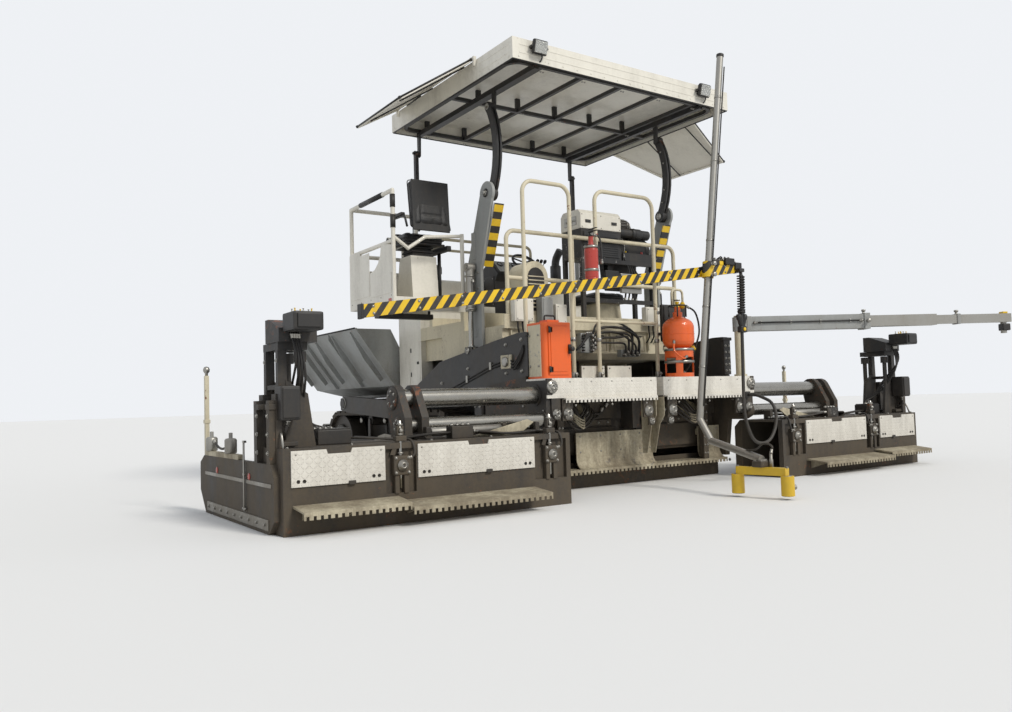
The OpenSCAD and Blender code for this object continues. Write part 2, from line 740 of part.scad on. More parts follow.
module station() color(white) {
    r = rail_r;
    x0 = station_out_x + r;
    x1 = station_in_x - r;
    y0 = station_rear_y + r;
    y1 = station_front_y - r;
    pan_z = station_z + 60;
    floor_top = pan_z + 40;
    low_rail_z = floor_top + 520;
    for (y = [station_rear_y + 130, station_rear_y + 760])
        box([station_out_x + 150, y, station_z], [-body_half_w + 370, y + 60, pan_z]);
    box([station_out_x, station_rear_y, pan_z], [station_in_x, station_front_y, floor_top]);
    box([station_out_x, station_front_y - 15, floor_top], [station_in_x, station_front_y, floor_top + 380]);
    // Side sheet with a scooped top edge
    side_plate(station_out_x, 8, concat(
        [[station_rear_y, floor_top], [station_front_y, floor_top], [station_front_y, low_rail_z]],
        arc(station_rear_y + 480, low_rail_z, 240, 0, -180),
        [[station_rear_y, low_rail_z - 40]]));
    for (p = [[x0, y0], [x0, y1], [x1, y1]])
        z_bar(floor_top, station_rail_z - floor_top, p.x, p.y, r);
    z_bar(floor_top, low_rail_z + 120 - floor_top, x1, y0, r);
    for (z = [station_rail_z, low_rail_z]) {
        y_bar(y0, y1 - y0, x0, z, r);
        x_bar(x0, x1 - x0, y1, z, r);
    }
    for (p = [[x0, y0], [x0, y1], [x1, y1]]) translate([p.x, p.y, station_rail_z]) sphere(r = r);
    // Rear rail that dips behind the seat
    bent_rod([
        [x0, y0, low_rail_z + 40], [x0 + 150, y0, low_rail_z - 60], [x0 + 330, y0, low_rail_z + 60],
        [x1, y0, low_rail_z + 100]], r - 3);
    // Pedestal of the seat
    side_plate(station_seat_x - 140, 280, [
        [station_seat_y - 150, floor_top], [station_seat_y + 180, floor_top],
        [station_seat_y + 180, floor_top + 80], [station_seat_y + 110, floor_top + station_seat_h],
        [station_seat_y - 120, floor_top + station_seat_h], [station_seat_y - 150, floor_top + 80]]);
    // Steering column, wheel and instrument box
    column_x = station_seat_x + 60;
    column_y = station_front_y - 210;
    column_h = 640;
    z_bar(floor_top, column_h, column_x, column_y, 30);
    translate([column_x, column_y, floor_top + column_h])
        rotate([35, 0, 0]) {
            translate([-150, -90, -22]) cube([300, 200, 45]);
            translate([0, 10, 40]) rotate_extrude() translate([130, 0]) circle(r = 14);
            cylinder(r = 22, h = 42);
            translate([-130, -8, 32]) cube([260, 36, 12]);
        }
}
station_seat_x = station_in_x - 325;
station_seat_y = -560;
station_seat_h = 440;

module seat_left() {
    seat_cushions(station_seat_x, station_seat_y, station_z + 100 + station_seat_h);
}

// Rear links of the canopy, two curved bars on each side
module canopy_links() color(black) {
    bow = 110;
    bar_w = 78;
    bar_t = 20;
    cross_r = link_len * link_len / (8 * bow) + bow / 2;
    half_angle = asin(link_len / 2 / cross_r);
    u = link_rear_y + cross_r - bow;
    v = link_rear_z + link_len / 2;
    x = link_x - link_half_t + 2;
    t = 2 * link_half_t - 4;
    both() difference() {
        union() {
            x_bar(x, t, link_rear_y, link_rear_z, 62);
            x_bar(x, t, link_rear_y, link_rear_z + link_len, 45);
            for (bar_x = [x, x + t - bar_t])
                side_plate(bar_x, bar_t, concat(
                    arc(u, v, cross_r + bar_w / 2, 180 - half_angle, 180 + half_angle, 10),
                    arc(u, v, cross_r - bar_w / 2, 180 + half_angle, 180 - half_angle, 10)));
            side_plate(x, t, concat(
                arc(u, v, cross_r + bar_w / 4, 176, 184, 2),
                arc(u, v, cross_r - bar_w / 4, 184, 176, 2)));
        }
        x_bar(x - 1, t + 2, link_rear_y, link_rear_z, 30 + pin_gap);
        x_bar(x - 1, t + 2, link_rear_y, link_rear_z + link_len, 20 + pin_gap);
    }
}

// Front posts of the canopy
module canopy_posts() color(black) {
    x = link_x - link_half_t + 2;
    t = 40;
    both() difference() {
        union() {
            box([x, link_front_y - 22, link_front_z], [x + t, link_front_y + 22, link_front_z + link_len]);
            for (z = [link_front_z, link_front_z + link_len]) x_bar(x, t, link_front_y, z, 28);
        }
        for (z = [link_front_z, link_front_z + link_len])
            x_bar(x - 1, t + 2, link_front_y, z, 15 + pin_gap);
    }
}

// Roof shell with its rim and the flap hinges' blocks
flap_axis_x = roof_half_w + 18;
flap_axis_z = roof_top_z + 16;
flap_pin_r = 6;
flap_y0 = -1460;
flap_y1 = 60;

roof_wall = 18;

module canopy_roof() color(white) {
    wall = roof_wall;
    difference() {
        box([-roof_half_w, roof_rear_y, roof_low_z], [roof_half_w, roof_front_y, roof_top_z]);
        box([-roof_half_w + wall, roof_rear_y + wall, roof_low_z - 1],
            [roof_half_w - wall, roof_front_y - wall, roof_top_z - wall]);
    }
    both() {
        for (y = [flap_y0 - 25, flap_y1 + 5])
            box([roof_half_w, y, roof_top_z - 60], [flap_axis_x + 12, y + 20, flap_axis_z + 12]);
        y_bar(flap_y0 - 6, flap_y1 - flap_y0 + 12, flap_axis_x, flap_axis_z, flap_pin_r);
    }
}

// Frame of tubes under the roof, with the links' lugs
module canopy_ribs() color(black) {
    rail = 50;
    z0 = roof_low_z - 10;
    bar = 36;
    bar_z = z0 + rail - bar / 2;
    bend = 150;
    lug_x = link_x - link_half_t - 24;
    side_x = roof_half_w - 60;
    y0 = roof_rear_y + 100;
    y1 = roof_front_y - 50;
    mid_y = (y0 + y1) / 2;
    // Rounded outline of the frame, drawn in by d
    outline = function(d) let (x = side_x - bend, r = bend - d) concat(
        arc(x, y1 - bend, r, 0, 90), arc(-x, y1 - bend, r, 90, 180),
        arc(-x, y0 + bend, r, 180, 270), arc(x, y0 + bend, r, 270, 360));
    both() {
        box([lug_x - 30, roof_rear_y + 80, z0], [lug_x + 20, roof_front_y - 22, z0 + rail]);
        // Y of the lug, height of its pin, radius of its pin
        for (l = [[link_rear_y, link_rear_z + link_len, 20], [link_front_y, link_front_z + link_len, 15]]) {
            side_plate(lug_x, 20, [
                [l[0] - 40, z0], [l[0] - 30, l[1] - 30], [l[0], l[1] - 42], [l[0] + 17, l[1] - 34],
                [l[0] + 17, z0]]);
            x_bar(lug_x + 19, 66, l[0], l[1], l[2]);
        }
    }
    // Bent frame, middle cross bar and long ribs
    translate([0, 0, bar_z]) linear_extrude(bar) {
        difference() {
            polygon(outline(0));
            polygon(outline(bar));
        }
        translate([-side_x + 1, mid_y - bar / 2]) square([2 * side_x - 2, bar]);
        for (i = [-2 : 2])
            translate([i * side_x * 0.37 - bar / 2, y0 + 1]) square([bar, y1 - y0 - 2]);
    }
    // Blocks that carry the roof
    for (i = [-2 : 2]) for (y = [y0 + bar / 2, mid_y, y1 - bar / 2])
        box([i * side_x * 0.37 - 25, y - 15, bar_z + bar / 2], [i * side_x * 0.37 + 25, y + 15, roof_top_z - roof_wall]);
}

// Work lamps on the roof's rear rim
module work_lamps() color("#3b3d38") {
    // X of each lamp
    for (x = [-1090, 950]) {
        box([x - 75, roof_rear_y - 80, roof_low_z + 50], [x + 75, roof_rear_y - 25, roof_low_z + 190]);
        box([x - 20, roof_rear_y - 25, roof_low_z + 90], [x + 20, roof_rear_y, roof_low_z + 150]);
    }
}

// Side flap on the right, on its hinge along the roof's edge
module flap() {
    rim = 22;
    // Distance from the hinge axis and Y of each corner of a sheet drawn in by d
    corners = function(d) [
        [14 + d, flap_y0 + 14 + d], [flap_w - d, flap_y0 + flap_w * 0.12 + d],
        [flap_w - d, flap_y1 - flap_w * 0.62 - d], [14 + d, flap_y1 - 14 - 2 * d]];
    difference() {
        union() {
            y_bar(flap_y0, flap_y1 - flap_y0, flap_axis_x, flap_axis_z, 15);
            translate([flap_axis_x, 0, flap_axis_z]) rotate([0, flap_slope, 0]) {
                translate([0, 0, -4]) linear_extrude(8) polygon(corners(0));
                translate([0, 0, -18]) linear_extrude(14) difference() {
                    polygon(corners(0));
                    polygon(corners(rim));
                }
            }
        }
        y_bar(flap_y0 - 1, flap_y1 - flap_y0 + 2, flap_axis_x, flap_axis_z, flap_pin_r + pin_gap);
    }
}

module flap_right() color(white) {
    flap();
}

module flap_left() color(white) {
    mirror([1, 0, 0]) flap();
}

// Lift cylinders of the screed: barrels on the brackets' pins, rods to the tow arms
barrel_r = 42;
lift_rod_r = 25;
barrel_low_z = 1670;
lift_eye_r = 40;

module lift_barrels() color(steel) {
    both() difference() {
        union() {
            x_bar(lift_x - 40, 80, lift_y, lift_top_z, 44);
            x_bar(canopy_plate_x + 2, lift_x + 48 - canopy_plate_x - 2, lift_y, lift_top_z, lift_pin_r);
            z_bar(barrel_low_z, lift_top_z - barrel_low_z, lift_x, lift_y, barrel_r);
        }
        z_bar(barrel_low_z - 1, 361, lift_x, lift_y, lift_rod_r + pin_gap);
    }
}

module lift_rods() color(steel) {
    both() difference() {
        union() {
            x_bar(lift_x - 15, 30, lift_y, lift_low_z, 58);
            z_bar(lift_low_z + 40, 385, lift_x, lift_y, lift_rod_r);
        }
        x_bar(lift_x - 16, 32, lift_y, lift_low_z, lift_eye_r);
    }
}

// Tow arms: one deep plate on each side, from the tow point to the screed's end frame
arm_rear_y = -2000;
arm_rear_z = 1010;
arm_mid_y = -1500;
arm_mid_z = 960;
arm_fore_y = -400;
arm_fore_z = 800;

// Height of the arm's lower edge ahead of its middle corner
function arm_low_z(y) =
    arm_mid_z + (y - arm_mid_y) / (arm_fore_y - arm_mid_y) * (arm_fore_z - arm_mid_z);

module tow_arms() color(black) {
    slot_half = 25;
    rear_top_z = arm_rear_z + 380;
    both() difference() {
        side_plate(arm_in_x, arm_t, [
            [tow_y + 90, tow_z - 80], [tow_y + 90, tow_z + 60], [tow_y - 60, tow_z + 85],
            [hopper_rear_y, tow_z + 20], [hopper_rear_y - 340, tow_z + 20], [arm_fore_y - 120, tow_z + 380],
            [arm_mid_y, rear_top_z - 45], [arm_rear_y + 120, rear_top_z], [arm_rear_y, rear_top_z],
            [arm_rear_y, arm_rear_z], [arm_mid_y, arm_mid_z], [arm_fore_y, arm_fore_z],
            [hopper_rear_y, tow_z - 180], [tow_y - 200, tow_z - 120]]);
        x_bar(arm_in_x - 1, arm_t + 2, tow_y, tow_z, tow_pin_r + pin_gap);
        box([lift_x - slot_half, lift_y - 130, lift_low_z - 75], [lift_x + slot_half, lift_y + 130, lift_low_z + 310]);
    }
    both() {
        x_bar(lift_x - slot_half, 2 * slot_half, lift_y, lift_low_z, 16);
        for (s = [[arm_in_x, lift_x - slot_half], [lift_x + slot_half, arm_in_x + arm_t]])
            side_plate(s[0], s[1] - s[0], [
                [lift_y - 60, lift_low_z - 30], [lift_y - 45, lift_low_z + 35], [lift_y + 45, lift_low_z + 35],
                [lift_y + 60, lift_low_z - 30]]);
    }
}

// Main screed: body, sole, end frames with the tube bearings and the low walkway
tube_a_y = -2130;
tube_a_z = 850;
tube_b_y = -2215;
tube_b_z = 650;
frame_t = 60;
frame_in = screed_half_w - frame_t;
tread_t = 15;
tread_in = tread_gap / 2;

module screed_frame() color(black) {
    tamper_t = 30;
    seat_z = tread_z - tread_t - seat_gap;
    end_rear_y = tread_rear_y + 20;
    low_z = 560;
    boss_x = tube_in_x;
    boss_len = screed_half_w + 10 - boss_x;
    box([-screed_half_w, main_front_y - tamper_t, 0], [screed_half_w, main_front_y, 320]);
    box([-screed_half_w, main_rear_y, 0], [screed_half_w, main_front_y - tamper_t, sole_t]);
    difference() {
        side_plate(-screed_half_w, 2 * screed_half_w, [
            [main_front_y - tamper_t, sole_t], [main_front_y - tamper_t, main_top_z - 60],
            [main_front_y - tamper_t - 60, main_top_z], [main_rear_y, main_top_z], [main_rear_y, sole_t]]);
        both() {
            box([120, main_rear_y - 1, 230], [screed_half_w - 120, main_rear_y + 120, 300]);
            box([80, main_rear_y + 20, sole_t + 20], [frame_in - 10, main_front_y - 90, main_top_z - 20]);
        }
    }
    both() {
        difference() {
            union() {
                side_plate(frame_in, frame_t, concat(
                    [[main_rear_y, 200], [main_rear_y, main_top_z], [main_front_y - 60, main_top_z],
                    [main_front_y - 60, arm_low_z(main_front_y - 60) - seat_gap],
                    [arm_mid_y, arm_mid_z - seat_gap], [arm_rear_y, arm_rear_z - seat_gap],
                    [arm_rear_y - 8, seat_z], [end_rear_y, seat_z]],
                    arc(end_rear_y + 90, low_z + 90, 90, 180, 270, 4),
                    [[main_rear_y - 210, low_z], [main_rear_y - 160, 200]]));
                // Bosses that the guide tubes run in, and their bolted flanges
                x_bar(boss_x, boss_len, tube_a_y, tube_a_z, tube_a_r + 18);
                x_bar(boss_x, boss_len, tube_b_y, tube_b_z, tube_b_r + 18);
                x_bar(frame_in - 14, 14, tube_a_y, tube_a_z, tube_a_r + 38);
            }
            x_bar(boss_x - 1, boss_len + 2, tube_a_y, tube_a_z, tube_a_r + slide_gap);
            x_bar(boss_x - 1, boss_len + 2, tube_b_y, tube_b_z, tube_b_r + slide_gap);
        }
        box([tread_in + 88, main_rear_y - 30, 330], [frame_in - 170, main_rear_y, main_top_z - 80]);
    }
    box([seat_gap - tread_in, main_rear_y - 170, step_z + 340], [tread_in - seat_gap, main_rear_y, tread_z - tread_t]);
    both() box([tread_in + 20, main_rear_y - 30, main_top_z], [frame_in, main_rear_y + 20, tread_z - tread_t]);
}

// An upright edge strip along X at y, hanging h below z, with square teeth along its lower edge
module toothed_edge(x0, x1, y, z, h, pitch) {
    n = floor((x1 - x0) / pitch);
    step = (x1 - x0) / n;
    cross_plate(y, 6, concat(
        [[x0, z], [x0, z - h]],
        [for (i = [0 : n - 1]) for (p = [[0.3, h], [0.3, 0.5 * h], [0.75, 0.5 * h], [0.75, h]])
            [x0 + (i + p[0]) * step, z - p[1]]],
        [[x1, z - h], [x1, z]]));
}

// Upper treads: shells with a top, a rear skirt and a toothed lip below
module screed_treads() color(white) {
    t = tread_t;
    y1 = tread_rear_y + tread_d;
    lip_z = tread_z - tread_h;
    lip_x1 = frame_in - 110;
    both() {
        box([tread_in, tread_rear_y, tread_z - t], [frame_in - 45, y1, tread_z]);
        box([frame_in - 45, tread_rear_y, tread_z - t], [screed_half_w, tread_rear_y + 290, tread_z]);
        box([tread_in, tread_rear_y, lip_z], [screed_half_w, tread_rear_y + t, tread_z - t]);
        box([tread_in, tread_rear_y + t, lip_z], [tread_in + t, y1, tread_z - t]);
        box([tread_in + 20, tread_rear_y - 30, lip_z - 12], [lip_x1, tread_rear_y + 30, lip_z]);
        toothed_edge(tread_in + 20, lip_x1, tread_rear_y - 30, lip_z, 40, 40);
    }
}

// Low foot board of the main screed and the flared kick plates above it
step_z = 184;

module screed_steps() color(white) {
    half = frame_in - 20;
    rear_y = main_rear_y - 200;
    plate_y = main_rear_y - 100;
    flare = 100;
    sheet = 8;
    box([-half, rear_y, step_z - 14], [half, main_rear_y, step_z]);
    toothed_edge(-half, half, rear_y, step_z, 44, 48);
    // Start and end of each kick plate along X
    for (p = [[-0.56 * half, 0.22 * half], [0.74 * half, half]]) {
        side_plate(p[0], p[1] - p[0], concat(
            [[plate_y, step_z + 320]],
            arc(plate_y - flare, step_z + flare - sheet, flare, 0, -80, 5),
            arc(plate_y - flare, step_z + flare - sheet, flare + sheet, -80, 0, 5),
            [[plate_y + sheet, step_z + 320]]));
        for (x = [p[0] + 40, p[1] - 60])
            box([x, plate_y + sheet, step_z + 230], [x + 20, main_rear_y - 30 - seat_gap, step_z + 290]);
    }
}

// Hand rails that stand on the treads, and the levelling boom's post
hoop_y = -1850;
hoop_z = 2750;
hoop_r = 19;
// X of the left and right leg of each hoop
hoops = [[-screed_half_w + 130, -620], [-315, 420]];

module rear_rails() color(beige) {
    bend = 110;
    foot_r = 30;
    for (h = hoops) {
        hoop(h[0], h[1], hoop_y, tread_z, hoop_z, hoop_r, bend);
        for (x = h) z_bar(tread_z, 12, x, hoop_y, foot_r);
    }
    x_bar(hoops[0][1], hoops[1][1] - hoops[0][1], hoop_y, tread_z + 535, 15);
    z_bar(tread_z, 20, boom_x, boom_y, 62);
    z_bar(tread_z, boom_z - boom_w / 2 - pin_gap - tread_z, boom_x, boom_y, 45);
    z_bar(tread_z, boom_z + boom_w / 2 + 20 - tread_z, boom_x, boom_y, boom_pin_r);
    z_bar(boom_z + boom_w / 2 + pin_gap, 15, boom_x, boom_y, 45);
    // Arms that carry the striped beam
    for (h = hoops)
        y_bar(stripe_y + 25, hoop_y - stripe_y - 25, h[1], stripe_z(h[1]), 18);
}

// Gas bottle in its ring on a stand
bottle_x = 470;
bottle_y = -2090;

module gas_bottle() color(orange) {
    z0 = tread_z + 270;
    translate([bottle_x, bottle_y, z0])
        rotate_extrude()
            polygon(concat(
                [[0, 0], [95, 0]], arc(60, 90, 90, -65, 0, 4), arc(60, 200, 90, 0, 70, 5),
                [[45, 308], [45, 350], [28, 350], [28, 400], [0, 400]]));
    // Stand with four windows
    difference() {
        z_bar(tread_z, 270, bottle_x, bottle_y, 135);
        z_bar(tread_z - 1, 255, bottle_x, bottle_y, 120);
        for (a = [0, 90])
            translate([bottle_x, bottle_y, tread_z + 40])
                rotate([0, 0, a]) box([-200, -70, 0], [200, 70, 150]);
    }
}

// Fire extinguisher clamped to a rail
bottle_e_x = hoops[1][0] - 85;

module extinguisher() color(orange) {
    y = hoop_y - 30;
    low_z = tread_z + 915;
    translate([bottle_e_x, y, low_z])
        rotate_extrude()
            polygon(concat(
                [[0, 0], [60, 0], [64, 20], [64, 270]], arc(22, 270, 42, 0, 80, 4),
                [[24, 345], [22, 400], [0, 400]]));
    for (z = [low_z + 60, low_z + 220])
        box([bottle_e_x, hoop_y - 8, z], [hoops[1][0] - hoop_r - seat_gap, hoop_y + 8, z + 25]);
    translate([bottle_e_x - 5, y, low_z + 385]) rotate([0, -25, 0]) box([0, -9, 0], [95, 9, 12]);
}

// Tool cabinet on the left tread
cabinet_x = -screed_half_w + 25;
cabinet_w = 300;

module tool_cabinet() color(orange) {
    y0 = tread_rear_y + 60;
    y1 = y0 + 230;
    h = 470;
    bend = 35;
    translate([0, 0, tread_z]) linear_extrude(h) polygon(concat(
        arc(cabinet_x + bend, y0 + bend, bend, 180, 270, 5),
        arc(cabinet_x + cabinet_w - bend, y0 + bend, bend, 270, 360, 5),
        [[cabinet_x + cabinet_w, y1], [cabinet_x, y1]]));
    box([cabinet_x + 45, y0 - 8, tread_z + 30], [cabinet_x + cabinet_w - 45, y0, tread_z + h - 30]);
    box([cabinet_x + 90, y0 + 60, tread_z + h], [cabinet_x + cabinet_w - 90, y1 - 60, tread_z + h + 25]);
}

// Striped beam with the pole's clamp at its right end
function stripe_z(x) =
    stripe_left_z + (x - stripe_left_x) / (stripe_right_x - stripe_left_x) * (stripe_right_z - stripe_left_z);
pole_y = stripe_y - 75;
pole_top = [550, pole_y, 3920];
pole_low = [90, pole_y, 600];
pole_dir = (pole_top - pole_low) / norm(pole_top - pole_low);
clamp_at = pole_low + pole_dir * 1330;

module striped_beam() color(yellow) {
    h = stripe_h / 2;
    cross_plate(stripe_y - 25, 50, [
        [stripe_left_x, stripe_left_z - h], [stripe_right_x, stripe_right_z - h],
        [stripe_right_x, stripe_right_z + h], [stripe_left_x, stripe_left_z + h]]);
    difference() {
        union() {
            rod(clamp_at - pole_dir * 70, clamp_at + pole_dir * 70, pole_r + 22);
            box([clamp_at.x - 35, pole_y, clamp_at.z - 35], [clamp_at.x + 35, stripe_y - 25, clamp_at.z + 35]);
        }
        rod(clamp_at - pole_dir * 90, clamp_at + pole_dir * 90, pole_r + pin_gap);
    }
}

// Bent sensor pole and the sensor head on its foot
foot_a = [90, pole_y - 120, 420];
foot_b = [-60, -3440, 300];
sensor_z = 180;

module sensor_pole() color(steel) {
    bent_rod([pole_top, pole_low, foot_a, foot_b], pole_r);
    z_bar(sensor_z + 60, foot_b.z - sensor_z - 60, foot_b.x, foot_b.y, 40);
}

module sensor_head() color(yellow) {
    foot_r = 50;
    a = [foot_b.x - 50, foot_b.y + 200];
    b = [foot_b.x + 30, sensor_y];
    ang = atan2(b.y - a.y, b.x - a.x);
    translate([a.x, a.y, sensor_z])
        rotate([0, 0, ang]) translate([0, -30, 0]) cube([norm(b - a), 60, 60]);
    for (p = [a, b]) z_bar(sensor_z - 150, 150, p.x, p.y, foot_r);
}

// One screed extension on the left: box, sole, recessed rear face, tube brackets and end tower
bracket_t2 = 60;
bracket_x = -ext_out_x + 1000;
bracket_gap = 140;
// Start and end of each rear cover along X, from the extension's outer end
covers = [[50, 700], [950, 1940]];

module extension() {
    outer = -ext_out_x;
    inner = -ext_in_x;
    wall = 20;
    box([outer, ext_rear_y, 0], [inner, ext_front_y, sole_t]);
    difference() {
        side_plate(outer, ext_len, [
            [ext_rear_y, sole_t], [ext_front_y, sole_t], [ext_front_y, ext_top_z - 70],
            [ext_front_y - 70, ext_top_z], [ext_rear_y, ext_top_z]]);
        // Recesses between the covers
        for (r = [[covers[0][1] + 10, covers[1][0] - 10], [covers[1][1] + 10, ext_len - 40]])
            box([outer + r[0], ext_rear_y - 1, 210], [outer + r[1], ext_rear_y + 30, ext_top_z - 40]);
        box([outer + wall, ext_rear_y + 50, sole_t + 1], [inner + 1, ext_front_y - 90, ext_top_z - wall]);
    }
    // Brackets that hold the tubes' outer ends
    for (x = [bracket_x, bracket_x + bracket_gap]) difference() {
        side_plate(x, bracket_t2, concat(
            [[ext_rear_y + 200, ext_top_z], [tube_b_y - 110, tube_b_z - 60], [tube_b_y - 110, tube_b_z + 60]],
            arc(tube_a_y, tube_a_z, tube_a_r + 30, 150, 0, 6),
            [[ext_front_y - 80, ext_top_z]]));
        if (x > bracket_x) {
            x_bar(x - 1, bracket_t2 + 2, tube_a_y, tube_a_z, tube_a_r + seat_gap);
            x_bar(x - 1, bracket_t2 + 2, tube_b_y, tube_b_z, tube_b_r + seat_gap);
        }
    }
    end_tower(outer);
}

// End tower: two braced legs, gate guides, height spindles and the control desk
tower_z = 1240;

module end_tower(outer) {
    leg = 60;
    for (y = [ext_rear_y + 180, ext_front_y - 160]) {
        side_plate(outer + 40, leg, [
            [y, ext_top_z], [y + leg, ext_top_z], [y + leg - 8, tower_z], [y + 8, tower_z]]);
        cross_plate(y, leg / 2, [
            [outer + 90, ext_top_z], [outer + 290, ext_top_z], [outer + 240, ext_top_z + 350],
            [outer + 90, ext_top_z + 440]]);
        // Height spindle with its crank boss
        z_bar(ext_top_z, 560, outer + 200, y + leg / 2, 22);
        z_bar(ext_top_z + 560, 70, outer + 200, y + leg / 2, 40);
    }
    box([outer + 40, ext_rear_y + 180, tower_z - 50], [outer + 240, ext_front_y - 100, tower_z]);
    side_plate(outer + 30, 260, [
        [ext_rear_y + 130, tower_z], [ext_rear_y + 130, tower_z + 90], [ext_rear_y + 330, tower_z + 160],
        [ext_rear_y + 400, tower_z + 160], [ext_rear_y + 400, tower_z]]);
    // Guides of the end gate
    for (y = [ext_rear_y + 120, ext_front_y - 200])
        box([outer, y, ext_top_z], [outer + 40, y + 80, 900]);
}

// Guide tubes of the left extension, in the brackets' bores
module guide_tubes() {
    x0 = bracket_x + bracket_t2;
    tube_len = -tube_in_x - x0;
    x_bar(x0, tube_len, tube_a_y, tube_a_z, tube_a_r);
    x_bar(x0, tube_len, tube_b_y, tube_b_z, tube_b_r);
}

// Rear covers of the left extension, each with a handle slot
module rear_covers() {
    low_z = 305;
    top_z = 535;
    for (c = covers) {
        mid = -ext_out_x + (c[0] + c[1]) / 2;
        cross_plate(ext_rear_y - 12, 12, [
            [-ext_out_x + c[0], low_z], [-ext_out_x + c[1], low_z], [-ext_out_x + c[1], top_z],
            [mid + 90, top_z], [mid + 80, top_z - 30], [mid - 80, top_z - 30], [mid - 90, top_z],
            [-ext_out_x + c[0], top_z]]);
    }
}

// Foot boards of the left extension: two lengths, the inner one lower, with toothed rear edges
module foot_boards() {
    // Start and end along X from the outer end, height of the board, extra depth
    for (b = [[60, 802, 165, 0], [800, 1940, 135, 30]]) {
        x0 = -ext_out_x + b[0];
        len = b[1] - b[0];
        rear_y = ext_rear_y - board_d - b[3];
        side_plate(x0, len, [
            [ext_rear_y, b[2] + 25], [rear_y, b[2]], [rear_y, b[2] - 10], [ext_rear_y, b[2] + 10]]);
        toothed_edge(x0, x0 + len, rear_y, b[2], 48, 46);
        for (x = [x0 + 60, x0 + len / 2, x0 + len - 80])
            side_plate(x, 16, [
                [ext_rear_y, b[2] + 14], [rear_y + 40, b[2] - 6], [ext_rear_y, b[2] - 70]]);
    }
}

module extension_left() color(black) {
    extension();
}

module extension_right() color(black) {
    mirror([1, 0, 0]) extension();
}

module tubes_left() color(steel) {
    guide_tubes();
}

module tubes_right() color(steel) {
    mirror([1, 0, 0]) guide_tubes();
}

module covers_left() color(white) {
    rear_covers();
}

module covers_right() color(white) {
    mirror([1, 0, 0]) rear_covers();
}

module boards_left() color(white) {
    foot_boards();
}

module boards_right() color(white) {
    mirror([1, 0, 0]) foot_boards();
}

// End gate on the left: a long plate with a rolled ski below
module gate() {
    x1 = -ext_out_x - seat_gap;
    x0 = x1 - gate_t;
    low = 2;
    side_plate(x0, gate_t, [
        [ext_rear_y + 160, low], [gate_front_y - 160, low], [gate_front_y, low + 170],
        [gate_front_y, gate_h - 60], [gate_front_y - 120, gate_h], [ext_rear_y + 120, gate_h],
        [ext_rear_y + 60, gate_h - 80], [ext_rear_y + 60, low + 90]]);
    for (y = [ext_rear_y + 130, ext_front_y - 190])
        box([x0, y, gate_h], [x0 + gate_t, y + 60, 860]);
}

module gate_left() color(black) {
    gate();
}

module gate_right() color(black) {
    mirror([1, 0, 0]) gate();
}

// Levelling boom on the right tread: post, first tube, second tube
boom_angle = -31;
boom_x = screed_half_w - 65;
boom_y = -2200;
boom_z = 1500;
boom_pin_r = 25;
hub_r = 60;

module boom_at() {
    translate([boom_x, boom_y, boom_z])
        rotate([0, 0, boom_angle]) children();
}

module boom_outer() color(grey) {
    h = boom_w / 2;
    boom_at() difference() {
        union() {
            cylinder(r = hub_r, h = boom_w, center = true);
            box([20, -h, -h], [1300, h, h]);
        }
        cylinder(r = boom_pin_r + pin_gap, h = boom_w + 2, center = true);
        box([130, -h + 15, -h + 15], [1301, h - 15, h - 15]);
    }
}

module boom_inner() color(grey) {
    h = boom_w / 2 - 15 - slide_gap;
    g = h - 12;
    boom_at() {
        box([1150, -h, -h], [2000, h, h]);
        box([2000, -g, -g], [boom_len, g, g]);
        translate([boom_len - 60, 0, -g - 110]) cylinder(r = 28, h = 110);
    }
}

chassis();
track(-track_x);  // track_left
track(track_x);  // track_right
running_gear();
hopper_bed();
conveyor();
engine_block();
rear_body();
hood();
platform();
console();
seat_right();
power_pack();
canopy_brackets();
auger_carrier();
push_beam();
push_roller(-roller_in_x - push_len);  // push_roller_left
push_roller(roller_in_x);  // push_roller_right
auger_left();
auger_right();
wing_left();
wing_right();
station();
seat_left();
canopy_links();
canopy_posts();
canopy_roof();
canopy_ribs();
work_lamps();
flap_left();
flap_right();
lift_barrels();
lift_rods();
tow_arms();
screed_frame();
screed_treads();
screed_steps();
rear_rails();
gas_bottle();
extinguisher();
tool_cabinet();
striped_beam();
sensor_pole();
sensor_head();
extension_left();
extension_right();
tubes_left();
tubes_right();
covers_left();
covers_right();
boards_left();
boards_right();
gate_left();
gate_right();
boom_outer();
boom_inner();
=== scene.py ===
"""Looks for a tracked asphalt paver: its finishes, fittings, hoses and seats, and the studio round it."""

import math

import bmesh
import bpy
from bpy.props import FloatProperty, FloatVectorProperty, IntProperty, PointerProperty
from bpy.types import Operator, Panel, PropertyGroup
from mathutils import Matrix, Vector


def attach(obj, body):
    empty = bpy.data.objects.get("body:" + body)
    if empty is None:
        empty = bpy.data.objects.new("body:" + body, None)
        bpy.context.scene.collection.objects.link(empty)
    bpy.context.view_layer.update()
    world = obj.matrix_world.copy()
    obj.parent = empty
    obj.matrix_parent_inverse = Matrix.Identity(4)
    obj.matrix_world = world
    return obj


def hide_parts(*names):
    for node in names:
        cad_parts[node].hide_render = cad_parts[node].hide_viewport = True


bl_info = {
    "name": "Asphalt paver dress",
    "version": (1, 0, 0),
    "blender": (4, 5, 0),
    "location": "3D View > Sidebar > Paver",
    "description": "Finishes and fittings for a tracked asphalt paver",
    "category": "Object",
}

